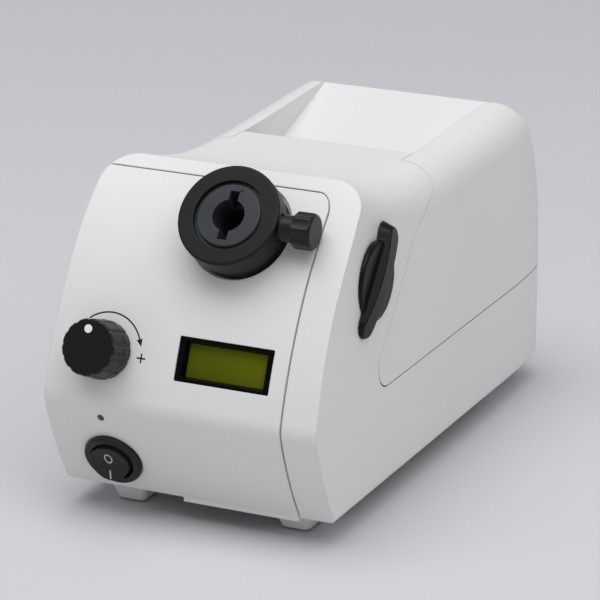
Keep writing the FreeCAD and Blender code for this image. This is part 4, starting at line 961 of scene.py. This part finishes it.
@dataclass
class Electronics:
    """Driver board, power supply, control board and their posts."""

    lacquer: Colour = (0.012, 0.09, 0.03)
    base_face: float = 0.0201
    bare_face: float = 1.0

    def build(self) -> None:
        """Dresses the boards, the upright one without parts above its face."""
        dress(LacquerBoard("board_lacquer", self.lacquer, self.base_face),
              "driver_board", "power_supply")
        dress(LacquerBoard("control_lacquer", self.lacquer, self.bare_face), "control_board")
        dress(PlatedSteel("post_steel", (0.62, 0.6, 0.55), UP), "board_posts")


@dataclass
class MainsInlet:
    """Inlet with its pins and the fuse drawer."""

    black: Colour = (0.016, 0.016, 0.017)
    nickel: Colour = (0.66, 0.63, 0.56)

    def build(self) -> None:
        """Dresses the inlet."""
        dress(MouldedPlastic("inlet_black", self.black, roughness=0.4, grain=1500.0,
                             edge=0.0005, edge_highlight=2.2), "inlet_socket", "fuse_drawer")
        dress(PlatedSteel("pin_nickel", self.nickel, BACK, roughness=0.28), "inlet_pins")
        dress(ClearGlass("fuse_glass", (0.92, 0.95, 0.94)), "fuse")


@dataclass
class SoftLamp:
    """Square lamp that faces a point."""

    name: str
    place: Vector
    aim: Vector
    size: float
    power: float

    def build(self) -> None:
        """Makes the lamp."""
        data = bpy.data.lights.new(self.name, "AREA")
        data.shape = "SQUARE"
        data.size = self.size
        data.energy = self.power
        lamp = bpy.data.objects.new(self.name, data)
        bpy.context.scene.collection.objects.link(lamp)
        lamp.location = self.place
        lamp.rotation_euler = (self.aim - self.place).to_track_quat("-Z", "Y").to_euler()


@dataclass
class Studio:
    """Floor, soft lamps and the camera."""

    camera_place: Vector = Vector((0.59307, -1.272058, 0.54434))
    camera_aim: Vector = Vector((0.040395, -0.094542, 0.100289))
    lens: float = 211.5
    sensor: float = 36.0
    clip: Point = (0.05, 50.0)
    floor_colour: Colour = (0.655, 0.655, 0.668)
    floor_reach: float = 6.0
    floor_roughness: float = 0.85
    floor_specular: float = 0.2
    cloud_scale: float = 1.5
    cloud_swing: float = 0.02
    cloud_dark: float = 0.99
    cloud_light: float = 1.01
    lamp_aim: Vector = Vector((0.0, 0.0, 0.07))
    top_place: Vector = Vector((-0.3, -0.45, 2.3))
    top_size: float = 1.9
    top_power: float = 30.0
    right_place: Vector = Vector((1.2, -0.6, 1.9))
    right_size: float = 1.6
    right_power: float = 14.0
    sky: Colour = (0.93, 0.95, 1.0)
    sky_strength: float = 0.36

    def floor(self) -> None:
        """Makes the pale floor."""
        mesh = bpy.data.meshes.new("studio_floor")
        reach = self.floor_reach
        corners = [(-reach, -reach, 0), (reach, -reach, 0), (reach, reach, 0), (-reach, reach, 0)]
        mesh.from_pydata(corners, [], [(0, 1, 2, 3)])
        floor = bpy.data.objects.new("studio_floor", mesh)
        bpy.context.scene.collection.objects.link(floor)
        graph = Graph("floor_paper")
        cloud = graph.noise(self.cloud_scale)
        colour = graph.mix(cloud.ease(*TONE_LEVELS), shade(self.floor_colour, self.cloud_dark),
                           shade(self.floor_colour, self.cloud_light))
        graph.principled(Base_Color=colour,
                         Roughness=self.floor_roughness + cloud.swing(self.cloud_swing))
        graph.principled(Specular_IOR_Level=self.floor_specular)
        mesh.materials.append(graph.material)

    def world(self) -> None:
        """Sets the even light from all round."""
        world = bpy.data.worlds.new("studio_world")
        bpy.context.scene.world = world
        world.use_nodes = True
        back = world.node_tree.nodes["Background"]
        back.inputs["Color"].default_value = shade(self.sky)
        back.inputs["Strength"].default_value = self.sky_strength

    def camera(self) -> None:
        """Sets the camera at the view of the photograph."""
        data = bpy.data.cameras.new("view_camera")
        data.lens = self.lens
        data.sensor_width = self.sensor
        data.clip_start, data.clip_end = self.clip
        camera = bpy.data.objects.new("view_camera", data)
        bpy.context.scene.collection.objects.link(camera)
        camera.location = self.camera_place
        sight = self.camera_aim - self.camera_place
        camera.rotation_euler = sight.to_track_quat("-Z", "Y").to_euler()
        bpy.context.scene.camera = camera

    def build(self) -> None:
        """Builds the studio."""
        self.floor()
        SoftLamp("top_lamp", self.top_place, self.lamp_aim, self.top_size, self.top_power).build()
        SoftLamp("right_lamp", self.right_place, self.lamp_aim, self.right_size,
                 self.right_power).build()
        self.world()
        self.camera()
        bpy.context.scene.view_settings.view_transform = "Standard"


def main() -> None:
    """Dresses the illuminator and builds the studio."""
    logging.basicConfig(level=logging.INFO, format="%(message)s")
    dark = PrintedInk("panel_ink_dark", (0.007, 0.007, 0.008)).material()
    pale = PrintedInk("rocker_ink_pale", (0.6, 0.6, 0.6)).material()
    Housing().build()
    LightGuideHolder().build()
    Dimmer().build(dark)
    PowerSwitch().build(pale)
    DisplayUnit().build()
    FilterSlide().build()
    LightEngine().build()
    Electronics().build()
    MainsInlet().build()
    Studio().build()
    logger.info("kept the boxes of the model and of the dressed part")


if __name__ == "__main__":
    main()
